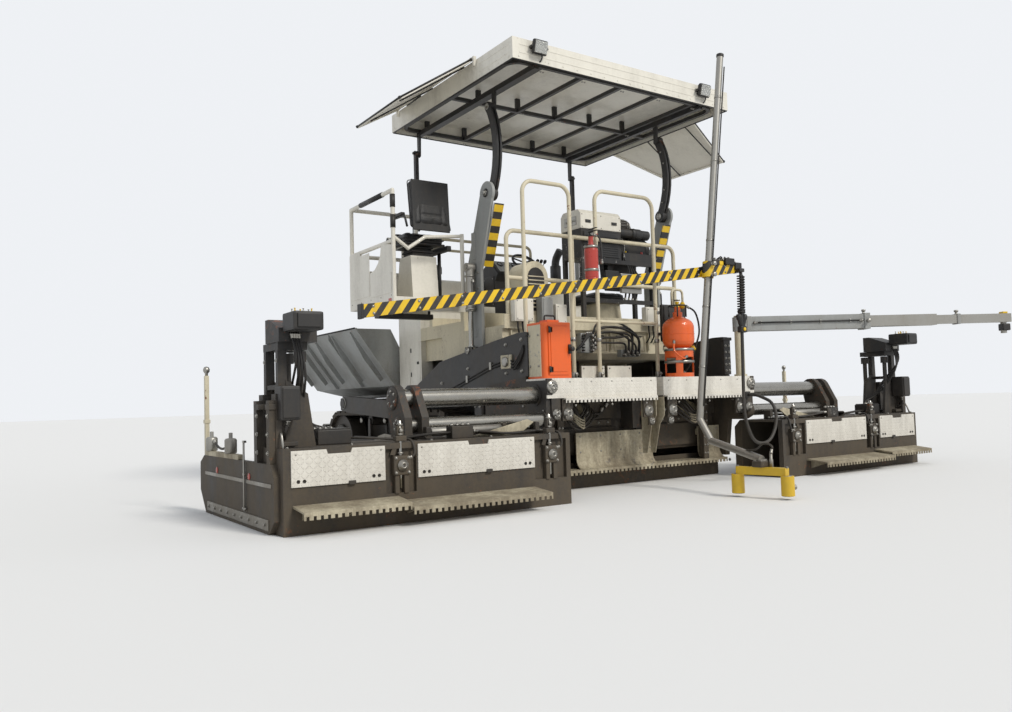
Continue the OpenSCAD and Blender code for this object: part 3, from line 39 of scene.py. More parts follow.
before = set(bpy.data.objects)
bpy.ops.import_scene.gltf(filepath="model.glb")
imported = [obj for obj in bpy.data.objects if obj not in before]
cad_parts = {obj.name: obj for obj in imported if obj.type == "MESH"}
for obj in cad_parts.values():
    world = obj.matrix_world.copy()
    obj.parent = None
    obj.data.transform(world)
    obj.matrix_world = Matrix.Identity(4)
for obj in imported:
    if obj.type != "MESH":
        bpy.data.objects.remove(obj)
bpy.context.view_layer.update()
MM = 0.001
RIGHT, FORE, UP = Vector((1, 0, 0)), Vector((0, 1, 0)), Vector((0, 0, 1))
LEFT, REAR, DOWN = -RIGHT, -FORE, -UP


def colour(name, default, description):
    return FloatVectorProperty(
        name=name, description=description, subtype="COLOR", size=3, min=0, max=1, default=default
    )


def linear(red, green, blue):
    """Scene colour of a paint chip given as 0 to 255 in each channel."""
    return tuple(
        c / 12.92 if c <= 0.04045 else ((c + 0.055) / 1.055) ** 2.4
        for c in (red / 255, green / 255, blue / 255)
    )


class PaverColours(PropertyGroup):
    """Paint and material colours of the machine."""

    white: colour("White paint", linear(222, 218, 206), "Canopy, hood and station")
    beige: colour("Beige paint", linear(205, 196, 170), "Rear body and deck")
    black: colour("Black paint", linear(34, 34, 35), "Arms, chassis and screed")
    grey: colour("Grey paint", linear(150, 152, 150), "Hopper wings and brackets")
    steel: colour("Worn steel", linear(156, 154, 148), "Tubes, rollers and flights")
    tread: colour("Tread plate", linear(226, 222, 212), "Steps and covers of the screed")
    orange: colour("Orange paint", linear(226, 96, 30), "Gas bottle and cabinet")
    red: colour("Red paint", linear(176, 52, 40), "Fire extinguisher")
    yellow: colour("Yellow paint", linear(226, 186, 30), "Sensor head and stripes")
    rubber: colour("Rubber", linear(24, 24, 25), "Hoses, grips and pads")
    dirt: colour("Road dirt", linear(96, 84, 66), "Dust and bitumen film")
    rust: colour("Rust", linear(112, 62, 34), "Where the paint is chipped")


class PaverSizes(PropertyGroup):
    """Sizes of the fittings."""

    hose_radius: FloatProperty(
        name="Hose radius", description="Radius of a hydraulic hose", default=11 * MM, unit="LENGTH"
    )
    bolt_size: FloatProperty(
        name="Bolt head", description="Width of a common bolt head", default=22 * MM, unit="LENGTH"
    )
    hose_sides: IntProperty(name="Hose sides", description="Faces around a hose", default=12)
    stripe_pitch: FloatProperty(
        name="Stripe pitch", description="From one yellow stripe to the next", default=96 * MM, unit="LENGTH"
    )


class PaverStage(PropertyGroup):
    """Camera and studio."""

    camera_at: FloatVectorProperty(
        name="Camera place", description="Where the camera stands", subtype="TRANSLATION",
        default=(-5.347, -7.75, 0.823),
    )
    camera_turn: FloatVectorProperty(
        name="Heading, pitch and roll", description="Clockwise from +Y, upwards, and to the right",
        subtype="EULER", default=(math.radians(34.049), math.radians(2.976), math.radians(-1.658)),
    )
    lens: FloatProperty(name="Lens", description="Focal length on a 36 mm wide sensor", default=29.66)
    floor_colour: colour("Floor", (0.80, 0.80, 0.79), "Pale studio floor")


def sizes():
    return bpy.context.scene.paver_sizes


def tint(name):
    """A paint colour of the machine, with its alpha."""
    return (*getattr(bpy.context.scene.paver_colours, name), 1.0)


# Shapes: every length from here on is in millimetres

# Profiles of turned fittings: pairs of radius and height
RIVET = [(7, 0), (6, 2.5), (3, 4), (0, 4.4)]
KNOB = [(16, 0), (16, 4), (11, 8), (11, 16), (20, 20), (21, 34), (17, 40), (0, 41)]
CAP = [(46, 0), (46, 6), (40, 10), (18, 12), (16, 18), (0, 19)]
FLANGE = [(50, 0), (50, 12), (30, 16), (27, 30), (15, 30), (15, 8), (0, 8)]
NUT = [(17, 0), (17, 13), (14, 16), (9, 16), (9, 24), (0, 24)]


def scaled(profile, share):
    """A profile with its radii made larger or smaller."""
    return [(radius * share, height) for radius, height in profile]


def leaning(at, degrees, axis="X"):
    """A place that is turned about one axis."""
    return Matrix.Translation(at) @ Matrix.Rotation(math.radians(degrees), 4, axis)


def on_circle(at, axis, radius, count, turn=0.4):
    """Evenly spaced points on a circle that lies across the axis x, y or z."""
    spots = []
    for i in range(count):
        a = turn + 2 * math.pi * i / count
        u, v = radius * math.cos(a), radius * math.sin(a)
        spots.append(Vector(at) + Vector({"x": (0, u, v), "y": (u, 0, v), "z": (u, v, 0)}[axis]))
    return spots


def rounded_path(points, radius, steps=6):
    """The points of a bent pipe: straight runs with an arc at each corner."""
    points = [Vector(p) for p in points]
    path = [points[0]]
    for before, at, after in zip(points, points[1:], points[2:]):
        a, b = (before - at), (after - at)
        reach = min(radius, a.length * 0.49, b.length * 0.49)
        start, end = at + a.normalized() * reach, at + b.normalized() * reach
        for i in range(steps + 1):
            t = i / steps
            path.append(start * (1 - t) ** 2 + at * 2 * t * (1 - t) + end * t * t)
    path.append(points[-1])
    return path


def flowing_path(points, steps=8):
    """A smooth curve through all the points, for a hose."""
    points = [Vector(p) for p in points]
    ends = [points[0] * 2 - points[1], *points, points[-1] * 2 - points[-2]]
    path = []
    for a, b, c, d in zip(ends, ends[1:], ends[2:], ends[3:]):
        for i in range(steps):
            t = i / steps
            path.append(
                (b * 2 + (c - a) * t + (a * 2 - b * 5 + c * 4 - d) * t * t
                 + (b * 3 - a - c * 3 + d) * t * t * t) / 2
            )
    path.append(points[-1])
    return path


def hanging_path(start, end, sag, steps=14):
    """A hose held at both ends."""
    start, end = Vector(start), Vector(end)
    return [
        start.lerp(end, i / steps) - UP * sag * 4 * (i / steps) * (1 - i / steps) for i in range(steps + 1)
    ]


def facing(direction):
    """Turns +Z to the direction."""
    return Vector(direction).normalized().to_track_quat("Z", "Y").to_matrix().to_4x4()


class Form:
    """Gathers the shapes of one piece, and makes them one mesh."""

    def __init__(self, *finishes):
        self.mesh = bmesh.new()
        self.finishes = list(finishes)
        self.finish = 0

    def use(self, finish):
        """The shapes that follow take this finish."""
        if finish not in self.finishes:
            self.finishes.append(finish)
        self.finish = self.finishes.index(finish)
        return self

    def _take(self, part, matrix=None, smooth=False):
        """Adds a shape's corners and faces, in an order that is the same in every run."""
        matrix = matrix or Matrix.Identity(4)
        corners = sorted(part.verts, key=lambda v: tuple(round(c, 2) for c in v.co))
        rank = {v: i for i, v in enumerate(corners)}
        made = [self.mesh.verts.new(matrix @ v.co) for v in corners]
        loops = []
        for f in part.faces:
            loop = [rank[v] for v in f.verts]
            first = loop.index(min(loop))
            loops.append(loop[first:] + loop[:first])
        for loop in sorted(loops):
            face = self.mesh.faces.new([made[i] for i in loop])
            face.material_index, face.smooth = self.finish, smooth
        part.free()
        return self

    def block(self, low, high, edge=3, matrix=None, segments=2):
        """A block with rounded edges."""
        low, high = Vector(low), Vector(high)
        part = bmesh.new()
        bmesh.ops.create_cube(part, size=1)
        span = high - low
        for v in part.verts:
            v.co = Vector((v.co.x * span.x, v.co.y * span.y, v.co.z * span.z)) + (low + high) / 2
        edge = min(edge, min(abs(c) for c in span) * 0.45)
        bmesh.ops.bevel(
            part, geom=list(part.edges), offset=edge, segments=segments, affect="EDGES", profile=0.6
        )
        return self._take(part, matrix)

    def plate(self, outline, axis, start, thick, edge=2, matrix=None):
        """A plate cut to an outline, which lies across the axis x, y or z."""
        place = {
            "x": lambda a, b, s: (s, a, b),
            "y": lambda a, b, s: (a, s, b),
            "z": lambda a, b, s: (a, b, s),
        }[axis]
        part = bmesh.new()
        face = part.faces.new([part.verts.new(place(a, b, start)) for a, b in outline])
        way = Vector(place(0, 0, thick))
        grown = bmesh.ops.extrude_face_region(part, geom=[face])
        bmesh.ops.translate(
            part, vec=way, verts=[g for g in grown["geom"] if isinstance(g, bmesh.types.BMVert)]
        )
        bmesh.ops.recalc_face_normals(part, faces=list(part.faces))
        if edge:
            bmesh.ops.bevel(part, geom=list(part.edges), offset=edge, segments=1, affect="EDGES")
        return self._take(part, matrix)

    def turned(self, at, direction, profile, sides=28):
        """A turned piece: pairs of radius and height along the direction.

        One that ends where it starts is a ring.
        """
        part = bmesh.new()
        rings = []
        hollow = profile[0] == profile[-1]
        for radius, height in profile[:-1] if hollow else profile:
            if radius < 0.01:
                rings.append([part.verts.new((0, 0, height))])
                continue
            rings.append([
                part.verts.new((radius * math.cos(a), radius * math.sin(a), height))
                for a in (2 * math.pi * i / sides for i in range(sides))
            ])
        for one, two in zip(rings, rings[1:] + rings[:1] if hollow else rings[1:]):
            for i in range(sides):
                j = (i + 1) % sides
                corners = [one[i % len(one)], one[j % len(one)], two[j % len(two)], two[i % len(two)]]
                unique = list(dict.fromkeys(corners))
                if len(unique) > 2:
                    part.faces.new(unique)
        for ring in () if hollow else (rings[0], rings[-1]):
            if len(ring) > 1:
                part.faces.new(ring)
        bmesh.ops.recalc_face_normals(part, faces=list(part.faces))
        matrix = Matrix.Translation(Vector(at)) @ facing(direction)
        return self._take(part, matrix, smooth=True)

    def rod(self, start, end, radius, sides=20):
        """A round bar with eased ends."""
        way = Vector(end) - Vector(start)
        ease = min(radius * 0.15, way.length * 0.2)
        profile = [
            (0, 0), (radius - ease, 0), (radius, ease), (radius, way.length - ease),
            (radius - ease, way.length), (0, way.length),
        ]
        return self.turned(start, way, profile, sides)

    def pipe(self, path, radius, sides=12):
        """A round tube or hose along a path."""
        path = [Vector(p) for p in path]
        part = bmesh.new()
        way = (path[1] - path[0]).normalized()
        side = way.orthogonal().normalized()
        rings = []
        for i, at in enumerate(path):
            ahead = (path[min(i + 1, len(path) - 1)] - path[max(i - 1, 0)]).normalized()
            side = (side - ahead * side.dot(ahead)).normalized()
            other = ahead.cross(side)
            rings.append([
                part.verts.new(at + (side * math.cos(a) + other * math.sin(a)) * radius)
                for a in (2 * math.pi * k / sides for k in range(sides))
            ])
        for one, two in zip(rings, rings[1:]):
            for k in range(sides):
                part.faces.new([one[k], one[(k + 1) % sides], two[(k + 1) % sides], two[k]])
        part.faces.new(rings[0][::-1])
        part.faces.new(rings[-1])
        bmesh.ops.recalc_face_normals(part, faces=list(part.faces))
        return self._take(part, smooth=True)

    def hose(self, path, radius=None, fitting="fitting"):
        """A hose with a crimped fitting at both ends."""
        radius = radius or sizes().hose_radius / MM
        self.pipe(path, radius, sizes().hose_sides)
        kept = self.finish
        self.use(fitting)
        for at, inward in ((path[0], path[1]), (path[-1], path[-2])):
            way = (Vector(inward) - Vector(at)).normalized()
            crimp = [(0, 0), (radius * 1.3, 0), (radius * 1.3, radius), (radius * 1.75, radius * 1.1),
                     (radius * 1.75, radius * 2.2), (radius * 1.35, radius * 2.4),
                     (radius * 1.35, radius * 5), (radius, radius * 5.2)]
            self.turned(at, way, crimp, 14)
        self.finish = kept
        return self

    def band(self, at, direction, inner, outer, width, sides=32):
        """A flat ring round a bar or tube."""
        profile = [(inner, 0), (outer, 0), (outer, width), (inner, width), (inner, 0)]
        return self.turned(at, direction, profile, sides)

    def bolt(self, at, direction, size=None):
        """A hexagon bolt head on its washer."""
        size = size or sizes().bolt_size / MM
        washer = [(0, 0), (size * 0.68, 0), (size * 0.68, size * 0.12), (0, size * 0.12)]
        self.turned(at, direction, washer, 18)
        head = [(0, size * 0.12), (size * 0.5, size * 0.12), (size * 0.5, size * 0.44),
                (size * 0.42, size * 0.52), (0, size * 0.52)]
        return self.turned(at, direction, head, 6)

    def bolts(self, points, direction, size=None):
        for at in points:
            self.bolt(at, direction, size)
        return self

    def ring(self, at, direction, radius, thick, sides=32, round_sides=10):
        """A round hoop of bar."""
        part = bmesh.new()
        rings = []
        for i in range(sides):
            a = 2 * math.pi * i / sides
            out = Vector((math.cos(a), math.sin(a), 0))
            rings.append([
                part.verts.new(out * (radius + thick * math.cos(b)) + UP * thick * math.sin(b))
                for b in (2 * math.pi * k / round_sides for k in range(round_sides))
            ])
        for i in range(sides):
            one, two = rings[i], rings[(i + 1) % sides]
            for k in range(round_sides):
                m = (k + 1) % round_sides
                part.faces.new([one[k], two[k], two[m], one[m]])
        bmesh.ops.recalc_face_normals(part, faces=list(part.faces))
        return self._take(part, Matrix.Translation(Vector(at)) @ facing(direction), smooth=True)

    def rivets(self, points, direction, sides=10):
        for at in points:
            self.turned(at, direction, RIVET, sides)
        return self

    def edging(self, corners, radius):
        """A thin bar along each side of an outline."""
        for start, end in zip(corners, corners[1:] + corners[:1]):
            self.pipe([start, end], radius, 8)
        return self

    def mirrored(self):
        """Adds the same shapes on the other side of the machine."""
        made = {v: self.mesh.verts.new((-v.co.x, v.co.y, v.co.z)) for v in list(self.mesh.verts)}
        for f in list(self.mesh.faces):
            face = self.mesh.faces.new([made[v] for v in reversed(f.verts)])
            face.material_index, face.smooth = f.material_index, f.smooth
        return self

    def flipped(self):
        """Turns the shapes into their mirror image on the machine's other side."""
        bmesh.ops.scale(self.mesh, vec=(-1, 1, 1), verts=list(self.mesh.verts))
        bmesh.ops.reverse_faces(self.mesh, faces=list(self.mesh.faces))
        return self

    def done_on(self, side, drawn, *names):
        """Makes the object of one side, from shapes that were drawn on the side given."""
        if side != drawn:
            self.flipped()
        return self.done(*(name.format(side) for name in names))

    def done(self, name, body, slot, replaces=()):
        """Makes the object, and hangs it on its body."""
        data = bpy.data.meshes.new(name)
        self.mesh.transform(Matrix.Scale(MM, 4))
        self.mesh.to_mesh(data)
        self.mesh.free()
        for finish in self.finishes:
            data.materials.append(bpy.data.materials[finish])
        made = bpy.data.objects.new(name, data)
        bpy.context.scene.collection.objects.link(made)
        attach(made, body)
        if replaces:
            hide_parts(*replaces)
        return made


# Node trees: effects that several finishes share, then the finishes


def put(tree, value, socket):
    """Feeds a socket from another node, or sets it to a number or colour."""
    value = getattr(value, "socket", value)
    if isinstance(value, bpy.types.NodeSocket):
        tree.links.new(value, socket)
    else:
        socket.default_value = value


def node(tree, kind, inputs=(), **settings):
    """A new node. Its inputs are given by name or number."""
    made = tree.nodes.new("ShaderNode" + kind)
    for key, value in settings.items():
        setattr(made, key, value)
    for key, value in dict(inputs).items():
        put(tree, value, made.inputs[key])
    return made


class Value:
    """An output of a node. Sums of it become math nodes."""

    def __init__(self, tree, socket):
        self.tree, self.socket = tree, socket

    def maths(self, operation, *others):
        made = node(self.tree, "Math", enumerate((self, *others)), operation=operation)
        return Value(self.tree, made.outputs[0])

    def __add__(self, other):
        return self.maths("ADD", other)

    def __sub__(self, other):
        return self.maths("SUBTRACT", other)

    def __rsub__(self, number):
        return self * -1 + number

    def __mul__(self, other):
        return self.maths("MULTIPLY", other)

    def __truediv__(self, other):
        return self.maths("DIVIDE", other)


def values_of(tree, sockets):
    return {socket.name: Value(tree, socket) for socket in sockets}


def noise(tree, place, scale, detail, rough):
    made = node(tree, "TexNoise", {"Vector": place, "Scale": scale, "Detail": detail, "Roughness": rough})
    return Value(tree, made.outputs["Fac"])


def eased(tree, value, low, high):
    """0 below low, 1 above high, smooth between."""
    limits = {"Value": value, "From Min": low, "From Max": high}
    made = node(tree, "MapRange", limits, interpolation_type="SMOOTHSTEP")
    return Value(tree, made.outputs["Result"])


def mixed(tree, share, a, b):
    """A colour between a and b: the colour sockets of a Mix node are its 6th, 7th and 2nd."""
    return node(tree, "Mix", {0: share, 6: a, 7: b}, data_type="RGBA").outputs[2]


def object_place(tree):
    return node(tree, "TexCoord").outputs["Object"]


def x_y_z(tree, vector):
    return values_of(tree, node(tree, "SeparateXYZ", {0: vector}).outputs).values()


def effect(name, inputs, *outputs):
    """An empty node group. An input with no number, and the output Color, are colours."""
    tree = bpy.data.node_groups.new(name, "ShaderNodeTree")
    for socket, number in inputs.items():
        kind = "NodeSocketColor" if number is None else "NodeSocketFloat"
        made = tree.interface.new_socket(name=socket, in_out="INPUT", socket_type=kind)
        if number is not None:
            made.default_value = number
    for socket in outputs:
        kind = "NodeSocketColor" if socket == "Color" else "NodeSocketFloat"
        tree.interface.new_socket(name=socket, in_out="OUTPUT", socket_type=kind)
    given = values_of(tree, tree.nodes.new("NodeGroupInput").outputs)
    return tree, given, tree.nodes.new("NodeGroupOutput").inputs


def build_road_film():
    """Dust in streaks, thicker near the road, over a paint colour."""
    tree, given, out = effect(
        "Road film", {"Paint": None, "Film": None, "Amount": 0.4, "Scale": 3.0}, "Color", "Mask"
    )
    place = object_place(tree)
    stretched = node(tree, "Mapping", {"Vector": place, "Scale": (1, 1, 0.22)}).outputs[0]
    streaks = noise(tree, stretched, given["Scale"], 6, 0.7)
    specks = noise(tree, place, 38, 5, 0.7)
    _, _, height = x_y_z(tree, place)
    near_road = eased(tree, height * -1, -1.6, 0.1)
    cover = streaks * 0.75 + specks * 0.3 + near_road * 0.22
    mask = (eased(tree, cover, 0.42, 0.86) * given["Amount"]).maths("MINIMUM", 1.0)
    put(tree, mixed(tree, mask, given["Paint"], given["Film"]), out["Color"])
    put(tree, mask, out["Mask"])


def build_chips():
    """Chipped paint and scratches: a mask and the colour under it."""
    tree, given, out = effect(
        "Paint chips", {"Paint": None, "Under": None, "Amount": 0.5, "Scale": 24.0}, "Color", "Mask"
    )
    place = object_place(tree)
    fine = noise(tree, place, given["Scale"], 8, 0.75)
    patches = noise(tree, place, 1.9, 3, 0.6)
    start = 0.80 - given["Amount"] * 0.14
    mask = eased(tree, fine * 0.7 + patches * 0.5, start, start + 0.03)
    put(tree, mixed(tree, mask, given["Paint"], given["Under"]), out["Color"])
    put(tree, mask, out["Mask"])


def build_grain():
    """Fine height of sprayed paint or cast metal, with shallow dents."""
    tree, given, out = effect("Surface grain", {"Scale": 260.0, "Dents": 0.3}, "Height", "Rough")
    place = object_place(tree)
    fine = noise(tree, place, given["Scale"], 3, 0.6)
    dents = noise(tree, place, 5.5, 2, 0.5)
    put(tree, fine * 0.12 + dents * given["Dents"], out["Height"])
    put(tree, noise(tree, place, 17, 5, 0.65), out["Rough"])


def build_tread_pattern():
    """Raised lozenges of tread plate. Across and Along are metres on the plate."""
    tree, given, out = effect(
        "Tread pattern", {"Across": 0.0, "Along": 0.0, "Lozenges per metre": 34.0}, "Height"
    )
    u, v = given["Across"] * given["Lozenges per metre"], given["Along"] * given["Lozenges per metre"]
    odd = (u.maths("FLOOR") + v.maths("FLOOR")).maths("FLOORED_MODULO", 2.0)
    even = 1.0 - odd
    du, dv = u.maths("FRACT") - 0.5, v.maths("FRACT") - 0.5
    one, two = (du + dv).maths("ABSOLUTE"), (du - dv).maths("ABSOLUTE")
    reach = (one * odd + two * even) * 1.1 + (two * odd + one * even) * 4.4
    put(tree, 1.0 - eased(tree, reach, 0.55, 1.0), out["Height"])


def build_hazard():
    """Slanted stripes: 1 on yellow, 0 on black."""
    tree, given, out = effect(
        "Hazard stripes", {"Across": 0.0, "Up": 0.0, "Pitch": 0.1, "Slant": 0.55}, "Mask"
    )
    turn = (given["Across"] - given["Up"] * given["Slant"]) / given["Pitch"]
    put(tree, turn.maths("FRACT").maths("GREATER_THAN", 0.5), out["Mask"])


def build_leather():
    """Creased artificial leather."""
    tree, given, out = effect("Leather grain", {"Scale": 420.0}, "Height")
    place = {"Vector": object_place(tree), "Scale": given["Scale"]}
    cells = node(tree, "TexVoronoi", place, feature="DISTANCE_TO_EDGE")
    put(tree, eased(tree, cells.outputs["Distance"], 0.0, 0.25), out["Height"])


def placed(tree, name, **values):
    """One of the shared effects, in a material, with its own values."""
    return values_of(tree, node(tree, "Group", values, node_tree=bpy.data.node_groups[name]).outputs)


def new_finish(name, **fixed):
    """A material, and the values that are the same all over it."""
    made = bpy.data.materials.new(name)
    made.use_nodes = True
    shader = made.node_tree.nodes["Principled BSDF"]
    for key, value in fixed.items():
        shader.inputs[key.replace("_", " ")].default_value = value
    return made.node_tree, shader


def finished(tree, shader, colour, share, rough, height, strength, distance):
    """Joins a material's colour, roughness and bump to its shader."""
    put(tree, colour, shader.inputs["Base Color"])
    spread = node(tree, "MapRange", {"Value": share, "To Min": rough[0], "To Max": rough[1]})
    put(tree, spread.outputs["Result"], shader.inputs["Roughness"])
    bump = node(tree, "Bump", {"Height": height, "Strength": strength, "Distance": distance})
    put(tree, bump.outputs["Normal"], shader.inputs["Normal"])


def paint(name, base, film=0.5, chips=0.4, rough=(0.35, 0.7), metallic=0.0, under="rust", dents=0.25,
          coat=0.0, grain=260.0):
    """Painted or bare metal with chips, a road film and a fine grain."""
    tree, shader = new_finish(name, Metallic=metallic, Coat_Weight=coat)
    chipped = placed(tree, "Paint chips", Paint=tint(base), Under=tint(under), Amount=chips)
    dusty = placed(tree, "Road film", Paint=chipped["Color"], Film=tint("dirt"), Amount=film)
    grained = placed(tree, "Surface grain", Scale=grain, Dents=dents)
    share = grained["Rough"] * 0.6 + dusty["Mask"]
    finished(tree, shader, dusty["Color"], share, rough, grained["Height"], 0.35, 0.002)


def tread_finish(name):
    """Tread plate, with its lozenges on flat and on upright faces."""
    tree, shader = new_finish(name, Metallic=0.1)
    chipped = placed(tree, "Paint chips", Paint=tint("tread"), Under=tint("steel"), Amount=0.35)
    dusty = placed(tree, "Road film", Paint=chipped["Color"], Film=tint("dirt"), Amount=0.34, Scale=5.0)
    x, y, z = x_y_z(tree, object_place(tree))
    _, _, upright = x_y_z(tree, node(tree, "NewGeometry").outputs["True Normal"])
    flat = upright.maths("ABSOLUTE").maths("GREATER_THAN", 0.7)
    pattern = placed(tree, "Tread pattern", Across=x, Along=y * flat + z * (1.0 - flat))
    worn = mixed(tree, pattern["Height"] * 0.35, dusty["Color"], (*linear(226, 222, 210), 1))
    finished(tree, shader, worn, dusty["Mask"], (0.42, 0.8), pattern["Height"], 0.9, 0.003)


def striped_finish(name, across, slant, pitch):
    """Black and yellow tape stripes, which run across x or y."""
    tree, shader = new_finish(name)
    x, y, z = x_y_z(tree, object_place(tree))
    stripes = placed(tree, "Hazard stripes", Across=x if across == "x" else y, Up=z, Pitch=pitch,
                     Slant=slant)
    tape = mixed(tree, stripes["Mask"], tint("black"), tint("yellow"))
    dusty = placed(tree, "Road film", Paint=tape, Film=tint("dirt"), Amount=0.55, Scale=6.0)
    chipped = placed(tree, "Paint chips", Paint=dusty["Color"], Under=tint("steel"), Amount=0.35)
    grained = placed(tree, "Surface grain", Scale=180.0, Dents=0.35)
    finished(tree, shader, chipped["Color"], dusty["Mask"], (0.38, 0.75), grained["Height"], 0.3, 0.002)


def leather_finish(name, base):
    tree, shader = new_finish(name)
    dusty = placed(tree, "Road film", Paint=tint(base), Film=tint("dirt"), Amount=0.22, Scale=8.0)
    creased = placed(tree, "Leather grain", Scale=420.0)
    finished(tree, shader, dusty["Color"], dusty["Mask"], (0.48, 0.72), creased["Height"], 0.25, 0.0006)


def glass_finish(name, shade, rough):
    new_finish(name, Base_Color=shade, Roughness=rough, Transmission_Weight=0.75, IOR=1.5)


class PAVER_OT_finishes(Operator):
    """Make the shared effects and every finish, and put them on the machine's solid parts"""

    bl_idname = "paver.finishes"
    bl_label = "Finishes"

    ON_NODES = {
        "black paint": ("chassis", "auger_carrier", "push_beam", "canopy_links", "canopy_posts",
                        "canopy_ribs", "tow_arms", "running_gear"),
        "screed black": ("screed_frame", "extension_left", "extension_right", "gate_left", "gate_right"),
        "track shoe": ("track_left", "track_right"),
        "white paint": ("hood", "canopy_roof", "station"),
        "beige paint": ("rear_body", "platform"),
        "bracket paint": ("canopy_brackets",),
        "wing paint": ("wing_left", "wing_right", "hopper_bed", "boom_outer"),
        "flap sheet": ("flap_left", "flap_right"),
        "bare steel": ("conveyor", "push_roller_left", "push_roller_right", "auger_left", "auger_right"),
        "block metal": ("engine_block", "power_pack"),
        "dull plastic": ("console", "work_lamps"),
        "cylinder grey": ("lift_barrels", "boom_inner", "sensor_pole"),
        "polished rod": ("lift_rods",),
        "tread plate": ("screed_treads", "covers_left", "covers_right"),
        "foot board": ("screed_steps", "boards_left", "boards_right"),
        "guide tube": ("tubes_left", "tubes_right"),
        "rail paint": ("rear_rails",),
        "bottle orange": ("gas_bottle",),
        "extinguisher red": ("extinguisher",),
        "cabinet orange": ("tool_cabinet",),
        "hazard beam": ("striped_beam",),
        "sensor yellow": ("sensor_head",),
        "seat leather": ("seat_left", "seat_right"),
    }

    def execute(self, context):
        for build in (build_road_film, build_chips, build_grain, build_tread_pattern, build_hazard,
                      build_leather):
            build()
        paint("white paint", "white", film=0.42, chips=0.22, rough=(0.3, 0.62), coat=0.15)
        paint("beige paint", "beige", film=0.72, chips=0.45, rough=(0.38, 0.72))
        paint("bracket paint", "grey", film=0.4, chips=0.3, rough=(0.36, 0.66))
        paint("wing paint", "grey", film=0.6, chips=0.5, rough=(0.4, 0.75), dents=0.6)
        paint("flap sheet", "white", film=0.35, chips=0.1, rough=(0.5, 0.75), dents=0.5)
        paint("black paint", "black", film=0.34, chips=0.35, rough=(0.38, 0.75))
        paint("screed black", "black", film=0.62, chips=0.75, rough=(0.45, 0.85), dents=0.5)
        paint("track shoe", "black", film=0.7, chips=0.8, rough=(0.5, 0.85), metallic=0.3, under="steel")
        paint("bare steel", "steel", film=0.55, chips=0.5, rough=(0.28, 0.62), metallic=0.85)
        paint("guide tube", "steel", film=0.28, chips=0.15, rough=(0.16, 0.4), metallic=0.95, dents=0.05)
        paint("block metal", "black", film=0.5, chips=0.5, rough=(0.4, 0.7), metallic=0.2, under="steel")
        paint("cylinder grey", "steel", film=0.35, chips=0.3, rough=(0.3, 0.6), metallic=0.7)
        paint("polished rod", "steel", film=0.08, chips=0.0, rough=(0.08, 0.2), metallic=1.0, dents=0.02)
        paint("fitting", "steel", film=0.3, chips=0.2, rough=(0.25, 0.5), metallic=0.9, dents=0.1)
        paint("rail paint", "beige", film=0.4, chips=0.6, rough=(0.35, 0.65))
        paint("foot board", "beige", film=0.85, chips=0.7, rough=(0.45, 0.8), under="steel")
        paint("bottle orange", "orange", film=0.35, chips=0.35, rough=(0.3, 0.6), coat=0.2)
        paint("cabinet orange", "orange", film=0.3, chips=0.25, rough=(0.32, 0.6), coat=0.1)
        paint("extinguisher red", "red", film=0.3, chips=0.2, rough=(0.2, 0.5), coat=0.3)
        paint("sensor yellow", "yellow", film=0.3, chips=0.35, rough=(0.35, 0.6))
        paint("dull plastic", "rubber", film=0.25, chips=0.0, rough=(0.45, 0.7), dents=0.1, grain=480.0)
        paint("hose rubber", "rubber", film=0.3, chips=0.0, rough=(0.5, 0.8), dents=0.1, grain=520.0)
        tread_finish("tread plate")
        striped_finish("hazard beam", "x", 0.7, sizes().stripe_pitch)
        striped_finish("hazard plate", "y", 0.9, 0.16)
        leather_finish("seat leather", "rubber")
        glass_finish("lamp glass", (0.92, 0.93, 0.90, 1), 0.12)
        glass_finish("gauge glass", (0.75, 0.78, 0.8, 1), 0.05)
        for finish, nodes in self.ON_NODES.items():
            for name in nodes:
                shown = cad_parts[name].data.materials
                shown.clear()
                shown.append(bpy.data.materials[finish])
        return {"FINISHED"}


